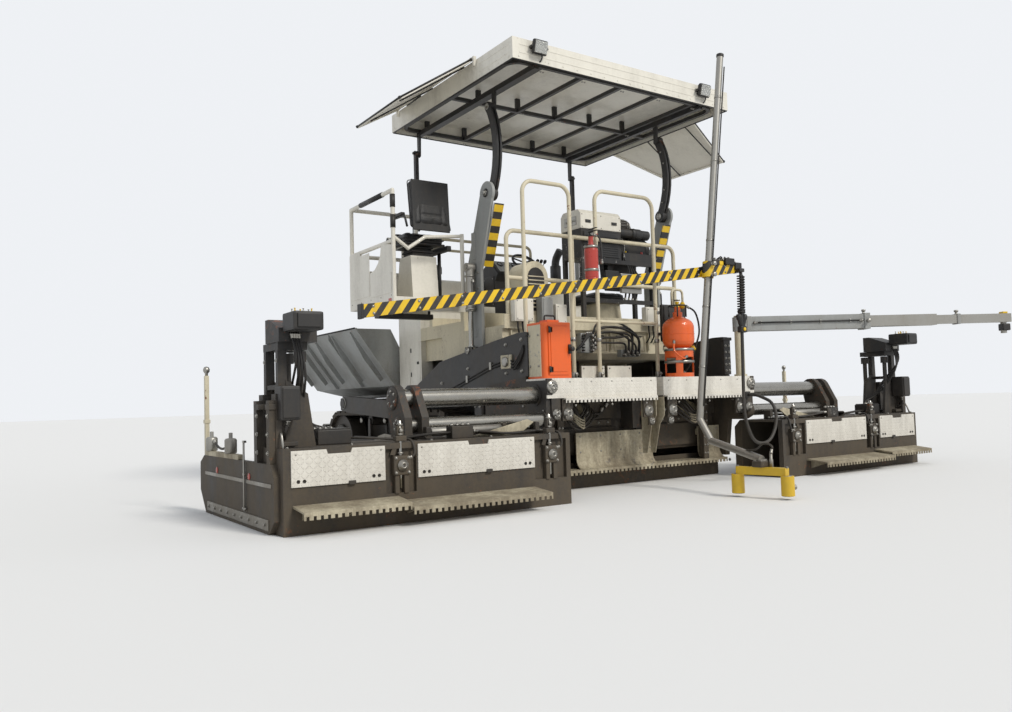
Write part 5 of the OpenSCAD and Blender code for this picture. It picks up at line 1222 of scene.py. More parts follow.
class PAVER_OT_seats(Operator):
    """Upholster both seats: padded cushions with seams, shells, arm rests and bellows"""

    bl_idname = "paver.seats"
    bl_label = "Seats"

    VOXEL = 0.012  # metres
    MOST_SWELL = 0.014  # metres
    SEAM_WIDTH, SEAM_DEPTH = 9, 0.009  # millimetres, metres

    def execute(self, context):
        self.seat("right", "tractor", 650, -780, 1830)
        self.seat("left", "station", -1500, -560, 2330)
        return {"FINISHED"}

    def seat(self, side, body, x, y, z):
        node = "seat_" + side
        self.pad(f"{node}_cushion", body, node, Vector((x, y + 50, z + 62)), (218, 205, 46), 0, node)
        self.pad(f"{node}_backrest", body, node, Vector((x, y - 236, z + 372)), (205, 232, 42), 83, None)
        shell = Form("dull plastic")
        shell.block((x - 215, y - 170, z + 1), (x + 215, y + 236, z + 22), 10, None, 3)
        shell.block((-200, -8, -250), (200, 10, 240), 16, leaning((x, y - 284, z + 360), -3), 3)
        for edge in (-1, 1):
            rest = x + edge * 236
            arm = [(x + edge * 232, y - 240, z + 150), (rest, y - 200, z + 262), (rest, y + 30, z + 268)]
            shell.use("black paint").pipe(rounded_path(arm, 40), 11, 12).use("seat leather")
            shell.block((rest - 24, y - 170, z + 268), (rest + 24, y + 60, z + 300), 12, None, 3)
        shell.use("fitting")
        for rail in (x - 180, x + 150):
            shell.block((rail, y - 140, z - 2), (rail + 30, y + 200, z + 6), 2)
        shell.use("hose rubber")
        for i in range(5):
            w, low = 118 - (i % 2) * 12, z - 22 - i * 20
            shell.block((x - w, y - w + 10, low), (x + w, y + w - 10, low + 18), 8, None, 2)
        shell.done(node + "_shell", body, node)

    def pad(self, name, body, slot, at, half, lean, replaced):
        """A sewn pad: swollen by cloth pressure, then its piping is laid round it."""
        block = bmesh.new()
        bmesh.ops.create_cube(block, size=2)
        for v in block.verts:
            v.co = Vector((v.co.x * half[0], v.co.y * half[1], v.co.z * half[2]))
        bmesh.ops.bevel(block, geom=list(block.edges), offset=30, segments=4, affect="EDGES", profile=0.6)
        bmesh.ops.scale(block, vec=(MM, MM, MM), verts=list(block.verts))
        data = bpy.data.meshes.new(name)
        block.to_mesh(data)
        block.free()
        made = bpy.data.objects.new(name, data)
        bpy.context.scene.collection.objects.link(made)
        remesh = made.modifiers.new("even", "REMESH")
        remesh.mode = "VOXEL"
        remesh.voxel_size = self.VOXEL
        self.apply(made)
        self.swell(made)
        self.sew(made, half)
        made.data.transform(leaning(at * MM, lean))
        made.data.materials.clear()
        made.data.materials.append(bpy.data.materials["seat leather"])
        for face in made.data.polygons:
            face.use_smooth = True
        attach(made, body)
        if replaced:
            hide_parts(replaced)
        self.piping(name, body, slot, leaning(at, lean), half)

    def apply(self, made):
        """Makes what the modifiers show the mesh itself."""
        tree = bpy.context.evaluated_depsgraph_get()
        fresh = bpy.data.meshes.new_from_object(made.evaluated_get(tree))
        made.modifiers.clear()
        made.data = fresh

    def swell(self, made):
        """Blows the pad up as cloth, by no more than a set distance."""
        still = [v.co.copy() for v in made.data.vertices]
        cloth = made.modifiers.new("swell", "CLOTH")
        cloth.settings.use_pressure = True
        cloth.settings.uniform_pressure_force = 4
        cloth.settings.effector_weights.gravity = 0
        cloth.settings.quality = 5
        scene = bpy.context.scene
        for step in range(1, 21):
            scene.frame_set(step)
        self.apply(made)
        scene.frame_set(1)
        for v, at in zip(made.data.vertices, still):
            moved = v.co - at
            if moved.length > self.MOST_SWELL:
                v.co = at + moved.normalized() * self.MOST_SWELL

    def sew(self, made, half):
        """Presses the sewn channels into the pad's upper side."""
        seam_x = half[0] * 0.55
        for v in made.data.vertices:
            if v.co.z > 0.2 * half[2] * MM:
                across, along = v.co.x / MM, v.co.y / MM
                away = [across + seam_x, across - seam_x]
                if abs(across) < seam_x:
                    away += [along - line for line in (-0.5 * half[1], 0, 0.5 * half[1])]
                dip = max(math.exp(-(distance / self.SEAM_WIDTH) ** 2) for distance in away)
                v.co.z -= dip * self.SEAM_DEPTH

    def piping(self, name, body, slot, turn, half):
        """The welt along the pad's edge."""
        w, h = half[0] + 2, half[1] + 2
        welt = Form("seat leather")
        path = rounded_path([(-w, 0, 0), (-w, -h, 0), (w, -h, 0), (w, h, 0), (-w, h, 0), (-w, 1, 0)], 34)
        welt.pipe([turn @ p for p in path], 5, 8)
        welt.done(name + "_welt", body, slot)


class PAVER_OT_screed(Operator):
    """Fit the main screed: adjuster flanges, columns, hose loops, cover plates and bolts"""

    bl_idname = "paver.screed"
    bl_label = "Main screed"

    TREAD_TOP = 985
    CARRIERS = -2297  # the rear face of what carries the treads
    WALL = -1832  # the wall behind the treads

    def execute(self, context):
        self.carriers(self.CARRIERS)
        self.ends()
        self.hoses(self.WALL)
        self.plates(self.TREAD_TOP)
        return {"FINISHED"}

    def carriers(self, rear):
        def flange(x, z, scale=1.0):
            cast.use("fitting").turned((x, rear, z), REAR, scaled(FLANGE, scale), 30)
            cast.bolts(on_circle((x, rear - 11, z), "y", 38 * scale, 4, 0.78), REAR, 15).use("screed black")

        cast = Form("screed black")
        for x, wide in ((1060, 56), (150, 58)):
            cast.block((x - wide, rear, 630), (x + wide, rear + 20, 830), 6)
            flange(x, 690)
        flange(1180, 690, 0.85)
        cast.block((1134, rear, 640), (1226, rear + 18, 830), 6)
        flange(118, 596, 0.6)
        cast.block((86, rear, 556), (150, rear + 18, 640), 5)
        cast.block((868, -1992, 184), (936, -1930, 968), 6)
        for z in range(240, 760, 80):
            cast.use("fitting").bolts([(884, -1992, z), (920, -1992, z)], REAR, 16)
        cast.use("screed black").block((200, -1846, 560), (1040, -1828, 612), 4)
        cast.use("fitting").bolts([(x, -1846, 586) for x in range(240, 1020, 110)], REAR, 18)
        bracket = [(-2292, 806), (-2292, 640), (-2230, 560), (-2160, 300), (-2100, 300), (-2100, 806)]
        cast.use("foot board").plate(bracket, "x", 46, 8, 1)
        cast.mirrored().done("tread_carriers", "screed", "screed_frame")

    def ends(self):
        ends = Form("fitting")
        ends.bolts(on_circle((1196, -2130, 850), "x", 99, 8), LEFT, 17)
        ends.use("screed black").block((1216, -2304, 846), (1272, -2280, 984), 6)
        disc = [(54, 0), (54, 10), (46, 14), (26, 15), (24, 26), (12, 26), (12, 12), (0, 12)]
        ends.use("fitting").turned((1222, -2304, 915), REAR, disc, 34)
        ends.bolts(on_circle((1222, -2317, 915), "y", 38, 6), REAR, 15)
        spots = ((-2240, 720), (-2240, 600), (-2060, 620), (-1960, 560), (-1960, 760), (-1880, 420),
                 (-1960, 300),
                 (-1960, 150))
        ends.bolts([(1266, y, z) for y, z in spots], RIGHT, 22)
        ends.mirrored().done("end_frame_flanges", "screed", "screed_frame")

    def hoses(self, wall):
        loops = Form("hose rubber")
        for i in range(5):
            low, x0, x1 = 545 + i * 27, 850 - i * 12, 520 + i * 24
            loops.pipe(flowing_path([
                (x0, wall, 770), (x0 - 6, -1940 - i * 6, 740), (x0 - 40, -2010 - i * 4, low + 40),
                ((x0 + x1) / 2, -2024, low), (x1, -1990, low + 110), (x1 - 16, wall, 790)], 6),
                9 + i % 2 * 2, 8)
        for x0, x1, z in ((500, 300, 700), (470, 240, 740)):
            loops.hose(hanging_path((x0, wall - 20, z), (x1, wall - 20, z + 30), 90), 10)
        loops.use("foot board")
        for i in range(4):
            loops.pipe(flowing_path([
                (830 - i * 16, wall, 790), (810 - i * 10, -2004, 700 - i * 22), (680, -2040, 622 - i * 22),
                (560 + i * 14, wall, 780)], 6), 8, 8)
        loops.mirrored().done("tread_hose_loops", "screed", "screed_frame")

    def plates(self, top):
        tread = Form("fitting")
        for x in (90, 420, 760, 1120):
            tread.rivets([(x, -2262, top), (x, -1842, top)], UP, 12)
        tread.rivets([(x, -2300, 955) for x in range(110, 1261, 230)], REAR, 12)
        tread.bolts([(x, -2330, 756) for x in (200, 600, 1000)], REAR, 14)
        tread.mirrored().done("tread_rivets", "screed", "screed_treads")
        shields = Form("white paint")
        for x0, x1 in ((-510, -236), (-196, 100)):
            shields.use("white paint").block((x0, -1822, top), (x1, -1808, 1108), 3)
            shields.block((x0, -1808, top), (x1, -1776, top + 8), 3)
            shields.use("fitting").bolts([(x, -1822, 1085) for x in (x0 + 24, x1 - 24)], REAR, 13)
        shields.done("front_shields", "screed", "screed_treads")
        steps = Form("fitting")
        for x in (-620, -380, -140, 100, 230, 920, 1150):
            steps.bolts([(x, -1900, 470), (x, -1900, 330)], REAR, 13)
        steps.rivets([(x, -1975, 184) for x in range(-1140, 1141, 190)], UP)
        steps.done("foot_board_bolts", "screed", "screed_steps")


class PAVER_OT_tow_arms(Operator):
    """Fit the tow arms: end posts, pins, brackets and hoses"""

    bl_idname = "paver.tow_arms"
    bl_label = "Tow arms"

    SIDE, INNER = 1260, 1170  # both faces of an arm

    def execute(self, context):
        side = self.SIDE
        arms = Form("black paint")
        arms.block((1166, -2032, 1010), (1264, -2000, 1384), 6)
        arms.block((1150, -2040, 1352), (1280, -1990, 1384), 6)
        for z in range(1050, 1360, 62):
            arms.use("fitting").bolts([(1190, -2032, z), (1240, -2032, z)], REAR, 20)
        spots = ((-1940, 1060), (-1940, 1330), (-1700, 1050), (-1700, 1300), (-1060, 1120), (-560, 1000),
                 (-560, 900))
        arms.bolts([(side, y, z) for y, z in spots], RIGHT, 26)
        for x, way in ((side, RIGHT), (self.INNER, LEFT)):
            arms.turned((x, 1900, 830), way, scaled(CAP, 1.5), 32)
        arms.turned((side, -1060, 1290), RIGHT, scaled(CAP, 0.7), 24)
        arms.use("foot board").block((side, -1800, 1090), (1278, -1640, 1210), 5)
        eye = [(44, 0), (44, 14), (30, 20), (16, 20), (0, 22)]
        arms.use("fitting").turned((1278, -1720, 1150), RIGHT, eye, 26)
        arms.bolts(on_circle((1292, -1720, 1150), "x", 33, 6), RIGHT, 12).use("hose rubber")
        for i in range(3):
            lead = [(1268, -1780, 1110 + i * 30), (1282, -1850, 1080 + i * 24),
                    (1276, -1930, 1150 + i * 26), (1268, -1980, 1240 + i * 20)]
            arms.pipe(flowing_path(lead, 6), 8, 8)
        for k in (0, 26):
            arms.pipe([(1264, y, z + k) for y,
                       z in ((-1600, 1120), (-1500, 1110), (-700, 905), (-420, 855))], 8, 8)
        for y, z in ((-1460, 1112), (-1050, 1008), (-640, 900)):
            arms.use("fitting").block((side, y - 16, z - 20), (side + 15, y + 16, z + 48), 3)
        arms.mirrored().done("tow_arm_fittings", "screed", "tow_arms")
        return {"FINISHED"}


class PAVER_OT_extensions(Operator):
    """Fit the screed extensions: adjusters, cover bolts, tube bands, boxes, pipes and end towers"""

    bl_idname = "paver.extensions"
    bl_label = "Screed extensions"

    FACE, RODS = -2622, -2588  # y of the adjusters' rear face and of their rods
    DECK = 550

    def execute(self, context):
        for side in ("left", "right"):
            for build in (self.adjusters, self.top, self.tower, self.covers, self.tubes):
                form, name, slot = build(side)
                form.done_on(side, "left", name + "_{}", "extension_{}", slot + "_{}")
        return {"FINISHED"}

    def adjusters(self, side):
        face, rods = self.FACE, self.RODS
        form = Form("screed black")
        for x in (-2755, -1480):
            form.use("screed black").block((x - 64, face, 330), (x + 64, -2565, 462), 10)
            for low in (x - 52, x + 18):
                form.block((low, -2610, 205), (low + 34, -2572, 335), 5)
            form.block((x - 40, -2612, 560), (x + 40, -2556, 596), 6)
            form.block((x - 26, -2600, 596), (x + 26, -2564, 664), 8)
            form.plate([(x - 80, 470), (x - 40, 560), (x - 10, 560), (x - 46, 462)], "y", -2596, 10, 1)
            form.use("polished rod").rod((x, rods, 240), (x, rods, 700), 13)
            form.use("fitting").turned((x, face, 396), REAR, scaled(FLANGE, 0.8), 26)
            form.bolts([(x + u, face, z) for u in (-48, 48) for z in (346, 446)], REAR, 18)
            for z in (470, 598, 664):
                form.turned((x, rods, z), UP, scaled(NUT, 1.4), 6)
            form.turned((x, -2556, 630), REAR, [(r * 0.9, h + 44) for r, h in NUT], 18).use("hose rubber")
            lead = [(x + 40, -2600, 430), (x + 92, face, 470), (x + 84, -2590, 560), (x + 40, -2480, 566)]
            form.hose(flowing_path(lead, 7), 9)
        return form, "height_adjusters", "extension"

    def top(self, side):
        deck = self.DECK
        form = Form("dull plastic")
        form.block((-3260, -2380, deck), (-3020, -2230, 652), 8)
        form.block((-3252, -2372, 652), (-3028, -2238, 660), 4)
        form.use("block metal").block((-2300, -2520, deck), (-2120, -2430, 640), 5).use("fitting")
        for x in range(-2280, -2141, 46):
            form.turned((x, -2475, 640), UP, NUT, 12)
        spots = [(x, y, deck) for x in (-3540, -3100, -2500, -2000, -1400) for y in (-2570, -2050)]
        form.bolts(spots, UP, 20)
        guard = [(-2090, deck), (-1640, deck), (-1500, 640), (-1560, 664)]
        form.use("foot board").plate(guard, "y", -2420, 14, 2)
        form.use("hose rubber")
        for i in range(4):
            y, u = -2500 + i * 22, i * 18
            inward = [(-2120, y, 600), (-2000, y - 10, 590 - i * 4), (-1780, -2480 + i * 30, 566),
                      (-1520, -2470 + i * 34, 572), (-1400, -2440 + i * 30, 566)]
            form.hose(flowing_path(inward, 7), 9)
            outward = [(-2300, u - 2500, 596), (-2420, u - 2500, 596), (-2640, u - 2340, 562),
                       (-3020, u - 2340, 590)]
            form.pipe(rounded_path(outward, 60), 8, 8)
        form.use("cylinder grey").rod((-2380, -2330, 600), (-1720, -2330, 600), 34)
        form.use("polished rod").rod((-1720, -2330, 600), (-1420, -2330, 600), 17).use("screed black")
        for x in (-2410, -1740, -1430):
            form.block((x - 20, -2372, deck), (x + 20, -2288, 640), 6)
        return form, "extension_top", "extension"

    def tower(self, side):
        post = -3380
        form = Form("screed black")
        for y in (-2390, -2150):
            for z in (600, 820, 1120):
                collar = [(26, 0), (26, 16), (22, 20), (22, 34), (17, 38), (0, 38)]
                form.use("fitting").turned((post, y, z), UP, collar, 20).bolt((-3540, y, z), LEFT, 20)
            form.use("polished rod")
            for z in range(660, 1086, 17):
                form.ring((post, y, z), UP, 17, 3.4, 20, 6)
            form.use("fitting").rod((-3460, y, 1196), (post, y, 1196), 9)
            form.rod((-3460, y, 1196), (-3460, y, 1250), 8)
        form.use("screed black").block((-3560, -2470, 560), (-3430, -2060, 590), 5)
        form.block((-3536, -2400, 930), (-3484, -2140, 962), 4)
        form.use("dull plastic").block((-3570, -2560, 730), (-3440, -2424, 950), 12)
        form.block((-3560, -2570, 744), (-3450, -2558, 936), 5)
        form.block((-3530, -2700, 1300), (-3330, -2480, 1420), 14)
        form.block((-3506, -2712, 1316), (-3354, -2698, 1404), 5)
        button = [(11, 0), (11, 5), (5, 7), (4, 22), (7, 26), (0, 28)]
        for i in range(6):
            form.use("fitting" if i % 2 else "sensor yellow")
            form.turned((-3486 + i % 3 * 56, -2600 + i // 3 * 56, 1420), UP, button, 12)
        crank = rounded_path([(-3540, -2440, 650), (-3556, -2510, 650), (-3556, -2566, 500)], 24)
        form.use("fitting").pipe(crank, 8, 10)
        grip = [(14, 0), (22, 14), (20, 34), (0, 40)]
        form.use("white paint").turned((-3556, -2562, 500), (0, -0.5, -1), grip, 18)
        form.use("hose rubber")
        for i in range(4):
            form.hose(flowing_path([
                (-3470 + i * 16, -2480, 1300), (-3450 + i * 20, -2510, 1120 - i * 30),
                (-3420 + i * 26, -2330, 900 - i * 40), (-3330 + i * 30, -2240, 690),
                (-3240 + i * 40, -2300, 655)]), 8)
        feed = [(-3500, -2500, 740), (-3520, -2480, 640), (-3450, -2330, 580), (-3260, -2300, 590)]
        form.hose(flowing_path(feed), 10)
        return form, "end_tower", "extension"

    def covers(self, side):
        form = Form("dull plastic")
        for x0, x1 in ((-3530, -2880), (-2630, -1640)):
            for x in (x0 + 45, x0 + 85, x1 - 85, x1 - 45):
                form.turned((x, -2611, 340), REAR, [(13, 0), (13, 3), (8, 4), (8, 1), (0, 1)], 6)
            form.use("fitting").rivets([(x, -2612, 510) for x in (x0 + 30, x1 - 30)], REAR, 12)
            middle = (x0 + x1) / 2
            form.use("dull plastic").block((middle + 60, self.FACE, 296), (middle + 110, -2600, 322), 4)
        return form, "cover_screws", "covers"

    def tubes(self, side):
        form = Form("screed black")
        for y, z, r in ((-2130, 850, 72), (-2215, 650, 56)):
            form.use("fitting").band((-2436, y, z), RIGHT, r, r + 9, 40)
            form.block((-2434, y - 14, z + r + 4), (-2400, y + 14, z + r + 26), 3)
            form.bolt((-2400, y, z + r + 15), RIGHT, 14).use("screed black")
            form.turned((-2590, y, z), RIGHT, [(0, 0), (r - 6, 0), (r + 14, 6), (r + 14, 26)], 34)
            form.use("fitting").bolts(on_circle((-2588, y, z), "x", r - 16, 6), LEFT, 18)
        return form, "tube_bands", "tubes"


class PAVER_OT_gates(Operator):
    """Fit the end gates: wear strips, spring cups, posts, rods and reflectors"""

    bl_idname = "paver.gates"
    bl_label = "End gates"

    FACE, ROD = -3620, -3634  # x of a gate's outer face and of the rod before it

    def execute(self, context):
        face, rod = self.FACE, self.ROD
        for side in ("left", "right"):
            form = Form("bare steel")
            form.block((-3628, -2440, 26), (-3619, -960, 96), 3)
            form.block((-3626, -2500, 300), (-3619, -900, 326), 3)
            form.use("fitting").bolts([(-3628, y, 62) for y in range(-2380, -1000, 170)], LEFT, 20)
            form.use("foot board").block((-3622, -1780, 450), (-3572, -900, 486), 4)
            form.use("rail paint").block((-3616, -890, 450), (-3584, -850, 1080), 4)
            form.block((-3622, -896, 700), (-3578, -844, 730), 4).use("cylinder grey")
            for y in (-1000, -1520):
                cup = [(40, 0), (44, 6), (44, 96), (36, 108), (14, 112), (14, 150), (0, 152)]
                form.turned((-3597, y, 486), UP, cup, 26)
            form.use("fitting").rod((rod, -1960, 120), (rod, -1960, 590), 7)
            for z in (124, 360, 584):
                form.block((-3640, -1976, z - 8), (-3618, -1944, z + 8), 3)
            form.pipe([(rod, -1925, 128), (rod, -1995, 128)], 6, 8)
            grip = [(12, 0), (12, 18), (24, 34), (26, 52), (18, 70), (0, 76)]
            form.turned((-3600, -870, 1080), UP, grip, 20)
            for y in (-2440, -2220):
                form.bolts([(face, y, z) for z in (520, 640, 760)], LEFT, 22)
                form.use("screed black").block((-3624, y - 42, 800), (-3574, y + 42, 836), 4).use("fitting")
            form.use("extinguisher red")
            for y in (-1240, -2040):
                form.turned((face, y, 350), LEFT, [(24, 0), (24, 5), (19, 8), (0, 9)], 22)
            form.use("hose rubber").hose(hanging_path((-3590, -1040, 570), (-3590, -1480, 570), 60), 9)
            form.done_on(side, "left", "gate_fittings_{}", "gate_{}", "gate_{}")
        return {"FINISHED"}


BOTTLE, TANK = (470, -2090), (-400, -1880)  # x and y of the gas bottle's and the extinguisher's axis


class PAVER_OT_rear_gear(Operator):
    """Fit the gear on the treads: rail clamps, gas bottle valve, extinguisher head, cabinet door"""

    bl_idname = "paver.rear_gear"
    bl_label = "Rails, bottle, extinguisher and cabinet"

    TREAD, RAIL_Y = 985, -1850  # the treads' top, and y of the rails' posts

    def execute(self, context):
        self.rails()
        self.bottle()
        self.tank()
        self.cabinet()
        return {"FINISHED"}

    def rails(self):
        tread, y = self.TREAD, self.RAIL_Y
        rails = Form("fitting")
        for x in (-1140, -620, -315, 420):
            foot = [(44, 0), (44, 10), (28, 12), (28, 62), (22, 66), (19, 66)]
            rails.turned((x, y, tread), UP, foot, 26)
            rails.bolts(on_circle((x, y, tread + 10), "z", 35, 4, 0.78), UP, 12)
            rails.turned((x, -1878, 1030), REAR, NUT, 6)
            rails.turned((x, y, 1330), UP, [(19, 0), (26, 3), (26, 34), (19, 37)], 20)
        rails.use("dull plastic").block((455, -1905, 1340), (775, -1862, 1705), 12)
        rails.block((470, -1916, 1356), (760, -1903, 1690), 6).use("fitting")
        for z in (1400, 1610):
            rails.block((415, -1875, z), (460, y, z + 30), 3)
        handle = [(610, 1700), (610, 1860), (760, 1860), (760, 1700)]
        rails.use("rail paint").pipe(rounded_path([(x, -1884, z) for x, z in handle], 50), 12)
        rails.done("rail_clamps", "screed", "rear_rails")

    def bottle(self):
        bottle = Form("fitting")
        for z in (1120, 1235):
            bottle.band((*BOTTLE, z), UP, 136, 142, 23, 44)
        bottle.use("bottle orange").ring((*BOTTLE, 1395), UP, 150, 3, 44, 8)
        bottle.use("black paint").ring((*BOTTLE, 1668), UP, 78, 7, 36, 8)
        for at in on_circle((*BOTTLE, 1560), "z", 80, 4, 0.78):
            bottle.pipe([at, at + UP * 108], 7, 8)
        valve = [(22, 0), (22, 20), (15, 26), (15, 52), (20, 56), (20, 66), (0, 70)]
        bottle.use("sensor yellow").turned((*BOTTLE, 1640), UP, valve, 20)
        governor = [(14, 0), (14, 30), (32, 34), (34, 52), (22, 62), (0, 64)]
        bottle.turned((485, -2090, 1674), (1, -0.3, 0), governor, 22)
        bottle.use("fitting").ring((*BOTTLE, 1722), UP, 26, 6, 24, 8)
        bottle.pipe([(444, -2090, 1722), (496, -2090, 1722)], 4, 6)
        gas = [(552, -2118, 1672), (640, -2160, 1600), (672, -2170, 1420), (640, -2130, 1250),
               (622, -2090, 1120), (600, -2000, 1010)]
        bottle.use("hose rubber").hose(flowing_path(gas), 9)
        breaker = [(14, 0), (14, 14), (26, 20), (26, 44), (12, 50), (0, 52)]
        bottle.use("sensor yellow").turned((606, -2110, 1262), (1, -0.2, 0), breaker, 18)
        torch = [(340, -2160, 1330), (300, -2200, 1230), (380, -2230, 1160), (440, -2226, 1180)]
        bottle.use("bottle orange").hose(flowing_path(torch), 8)
        bottle.done("gas_bottle_valve", "screed", "gas_bottle")

    def tank(self):
        tank = Form("black paint")
        tank.turned((*TANK, 2300), UP, [(22, 0), (22, 16), (15, 20), (15, 40), (0, 42)], 20)
        tank.block((-412, -1975, 2342), (-388, -1850, 2350), 3)
        tank.block((-410, -1970, 2366), (-390, -1860, 2374), 3)
        lead = [(-380, -1880, 2322), (-320, -1905, 2300), (-318, -1930, 2180), (-330, -1945, 2040)]
        tank.use("hose rubber").hose(flowing_path(lead), 9)
        tank.use("fitting").turned((-400, -1896, 2322), REAR, [(15, 0), (15, 9), (12, 11), (0, 11)], 20)
        for z in (1975, 2190):
            tank.band((*TANK, z), UP, 64, 67, 24, 34)
            tank.block((-400, -1870, z), (-318, -1850, z + 22), 3)
        tank.use("extinguisher red").turned((*TANK, 1900), UP, [(58, -6), (66, -6), (66, 10), (64, 12)], 34)
        tank.done("extinguisher_head", "screed", "extinguisher")

    def cabinet(self):
        box = Form("foot board")
        box.block((-1251, -2200, 1004), (-1244, -2024, 1436), 3)
        box.use("fitting").bolts([(-1251, y, z) for y in (-2052, -2172) for z in (1350, 1092)], LEFT, 16)
        box.use("dull plastic").block((-998, -2262, 1190), (-968, -2246, 1270), 5)
        box.turned((-983, -2262, 1230), REAR, KNOB, 16)
        for z in (1060, 1390):
            box.turned((-1196, -2256, z - 26), UP, [(8, 0), (8, 52), (0, 52)], 14)
            box.block((-1196, -2254, z - 22), (-1160, -2247, z + 22), 2)
        box.use("cabinet orange").block((-1180, -2254, 1040), (-1010, -2246, 1420), 6)
        grip = [(-1150, 1480), (-1150, 1520), (-1040, 1520), (-1040, 1480)]
        box.use("dull plastic").pipe(rounded_path([(x, -2130, z) for x, z in grip], 18), 8, 10)
        box.done("cabinet_door", "screed", "tool_cabinet")


class PAVER_OT_beam(Operator):
    """Fit the striped beam and the sensor: level control, lead on its conduit, clamps and foot plates"""

    bl_idname = "paver.beam"
    bl_label = "Beam and sensor"

    LEAD_Y = -2662  # the conduit hangs behind the beam
    POLE_TOP, POLE_LOW = Vector((550, -2675, 3920)), Vector((90, -2675, 600))
    POLE_WAY = Vector((0.137, 0, 0.99))

    def execute(self, context):
        self.beam()
        self.conduit()
        self.pole()
        self.head()
        return {"FINISHED"}

    def beam(self):
        beam = Form("fitting")
        for x in range(-2950, 600, 350):
            z = 1440 + (x + 3030) * 530 / 3730
            beam.bolts([(x, -2625, z + 24), (x + 4, -2625, z - 24)], REAR, 15)
        beam.use("dull plastic").block((-3042, -2634, 1388), (-3022, -2566, 1490), 5)
        beam.block((540, -2650, 1990), (660, -2560, 2052), 8)
        beam.block((676, -2645, 1950), (760, -2560, 2020), 8)
        beam.use("block metal").block((350, -2640, 1978), (470, -2570, 2030), 6).use("fitting")
        for x, z, share in ((380, 2030, 0.5), (440, 2030, 0.5), (575, 2050, 0.45), (625, 2050, 0.45),
                            (705, 2016, 0.5)):
            knob = [(radius * share, height * share) for radius, height in KNOB]
            beam.turned((x, -2606, z), UP, knob, 16)
        for x, z in ((270, 1870), (274, 1965)):
            beam.turned((x, -2724, z), REAR, KNOB, 18)
        beam.use("sensor yellow").block((476, -2632, 1985), (528, -2574, 2020), 5).use("hose rubber")
        for i in range(3):
            y = -2590 - i * 16
            beam.hose(flowing_path([(470, y, 2010), (505, y + 5, 2050 + i * 6), (545, y, 2030)], 7), 6)
        beam.done("level_control", "screed", "striped_beam")

    def conduit(self):
        lead = Form("black paint")
        back = self.LEAD_Y
        down = [(720, 1950), (705, 1500), (680, 600), (800, 360), (1010, 345)]
        up = [(back + 10, 520), (back + 30, 720), (-2420, 800), (-2312, 800)]
        run = [(x, back, z) for x, z in down] + [(1150, y, z) for y, z in up]
        lead.pipe(rounded_path(run, 130, 8), 15, 12)
        lead.block((690, back - 18, 1928), (752, -2560, 1962), 6)
        lead.block((1118, -2330, 770), (1182, -2300, 832), 5)
        lead.use("hose rubber")
        turns, steps, across, long = 15, 12, 31, 350
        coil = []
        for i in range(turns * steps + 1):
            a = i * 2 * math.pi / steps
            coil.append((716 - i * 0.07 + across * math.cos(a), back + across * math.sin(a),
                         1900 - i * long / (turns * steps)))
        lead.pipe(coil, 7, 8).use("dull plastic")
        plug = [(16, 0), (22, 30), (22, 90), (26, 96), (26, 128), (18, 140), (0, 142)]
        for lean in (-0.35, 0.35):
            lead.turned((705, back, 1405), (lean, 0, 1), plug, 18)
        lead.block((668, back - 26, 1370), (742, back + 26, 1430), 10)
        lead.block((684, back - 30, 1545), (726, back + 30, 1580), 6)
        cap = [(16, 0), (16, 8), (11, 12), (0, 12)]
        lead.use("sensor yellow").turned((705, back - 26, 1400), REAR, cap, 18)
        lead.done("lead_and_conduit", "screed", "striped_beam")

    def pole(self):
        top, way = self.POLE_TOP, self.POLE_WAY
        pole = Form("dull plastic")
        pole.turned(top, way, [(31, -20), (34, -16), (34, 6), (26, 12), (0, 13)], 24).use("fitting")
        for t in (0.12, 0.3, 0.52, 0.7, 0.86):
            pole.band(top.lerp(self.POLE_LOW, t), -way, 30, 33, 16, 26)
        lead = [(556 - 460 * t, -2712, 3800 - 3180 * t) for t in (0, 0.5, 0.97)]
        pole.use("hose rubber").pipe(lead, 6, 8)
        pole.done("pole_bands", "sensor", "sensor_pole")

    def head(self):
        head = Form("block metal")
        head.block((-122, -3486, 240), (-26, -3392, 288), 8)
        head.use("fitting").bolts([(x, y, 288) for y in (-3470, -3408) for x in (-104, -44)], UP, 18)
        head.turned((-66, -3440, 262), (0.2, -0.9, 0.2), KNOB, 16)
        plug = [(16, 0), (16, 60), (12, 66), (12, 110), (0, 112)]
        head.use("cylinder grey").turned((-24, -3500, 236), UP, plug, 18)
        lead = [(-24, -3500, 340), (-20, -3510, 400), (-30, -3440, 420), (-44, -3370, 372),
                (-10, -3200, 352)]
        head.use("hose rubber").hose(flowing_path(lead), 8)
        for x, y in ((-110, -3240), (-30, -3650)):
            head.use("dull plastic").turned((x, y, 34), DOWN, [(50, 0), (46, 6), (34, 8), (0, 8)], 30)
            head.use("fitting").turned((x, y, 178), UP, [(34, 0), (34, 4), (0, 4)], 24)
            head.bolt((x, y, 240), UP, 20)
        head.turned((20, -3650, 90), RIGHT, KNOB, 16)
        head.done("sensor_clamp", "sensor", "sensor_head")


BOOM_PIN = (1205, -2200)  # x and y


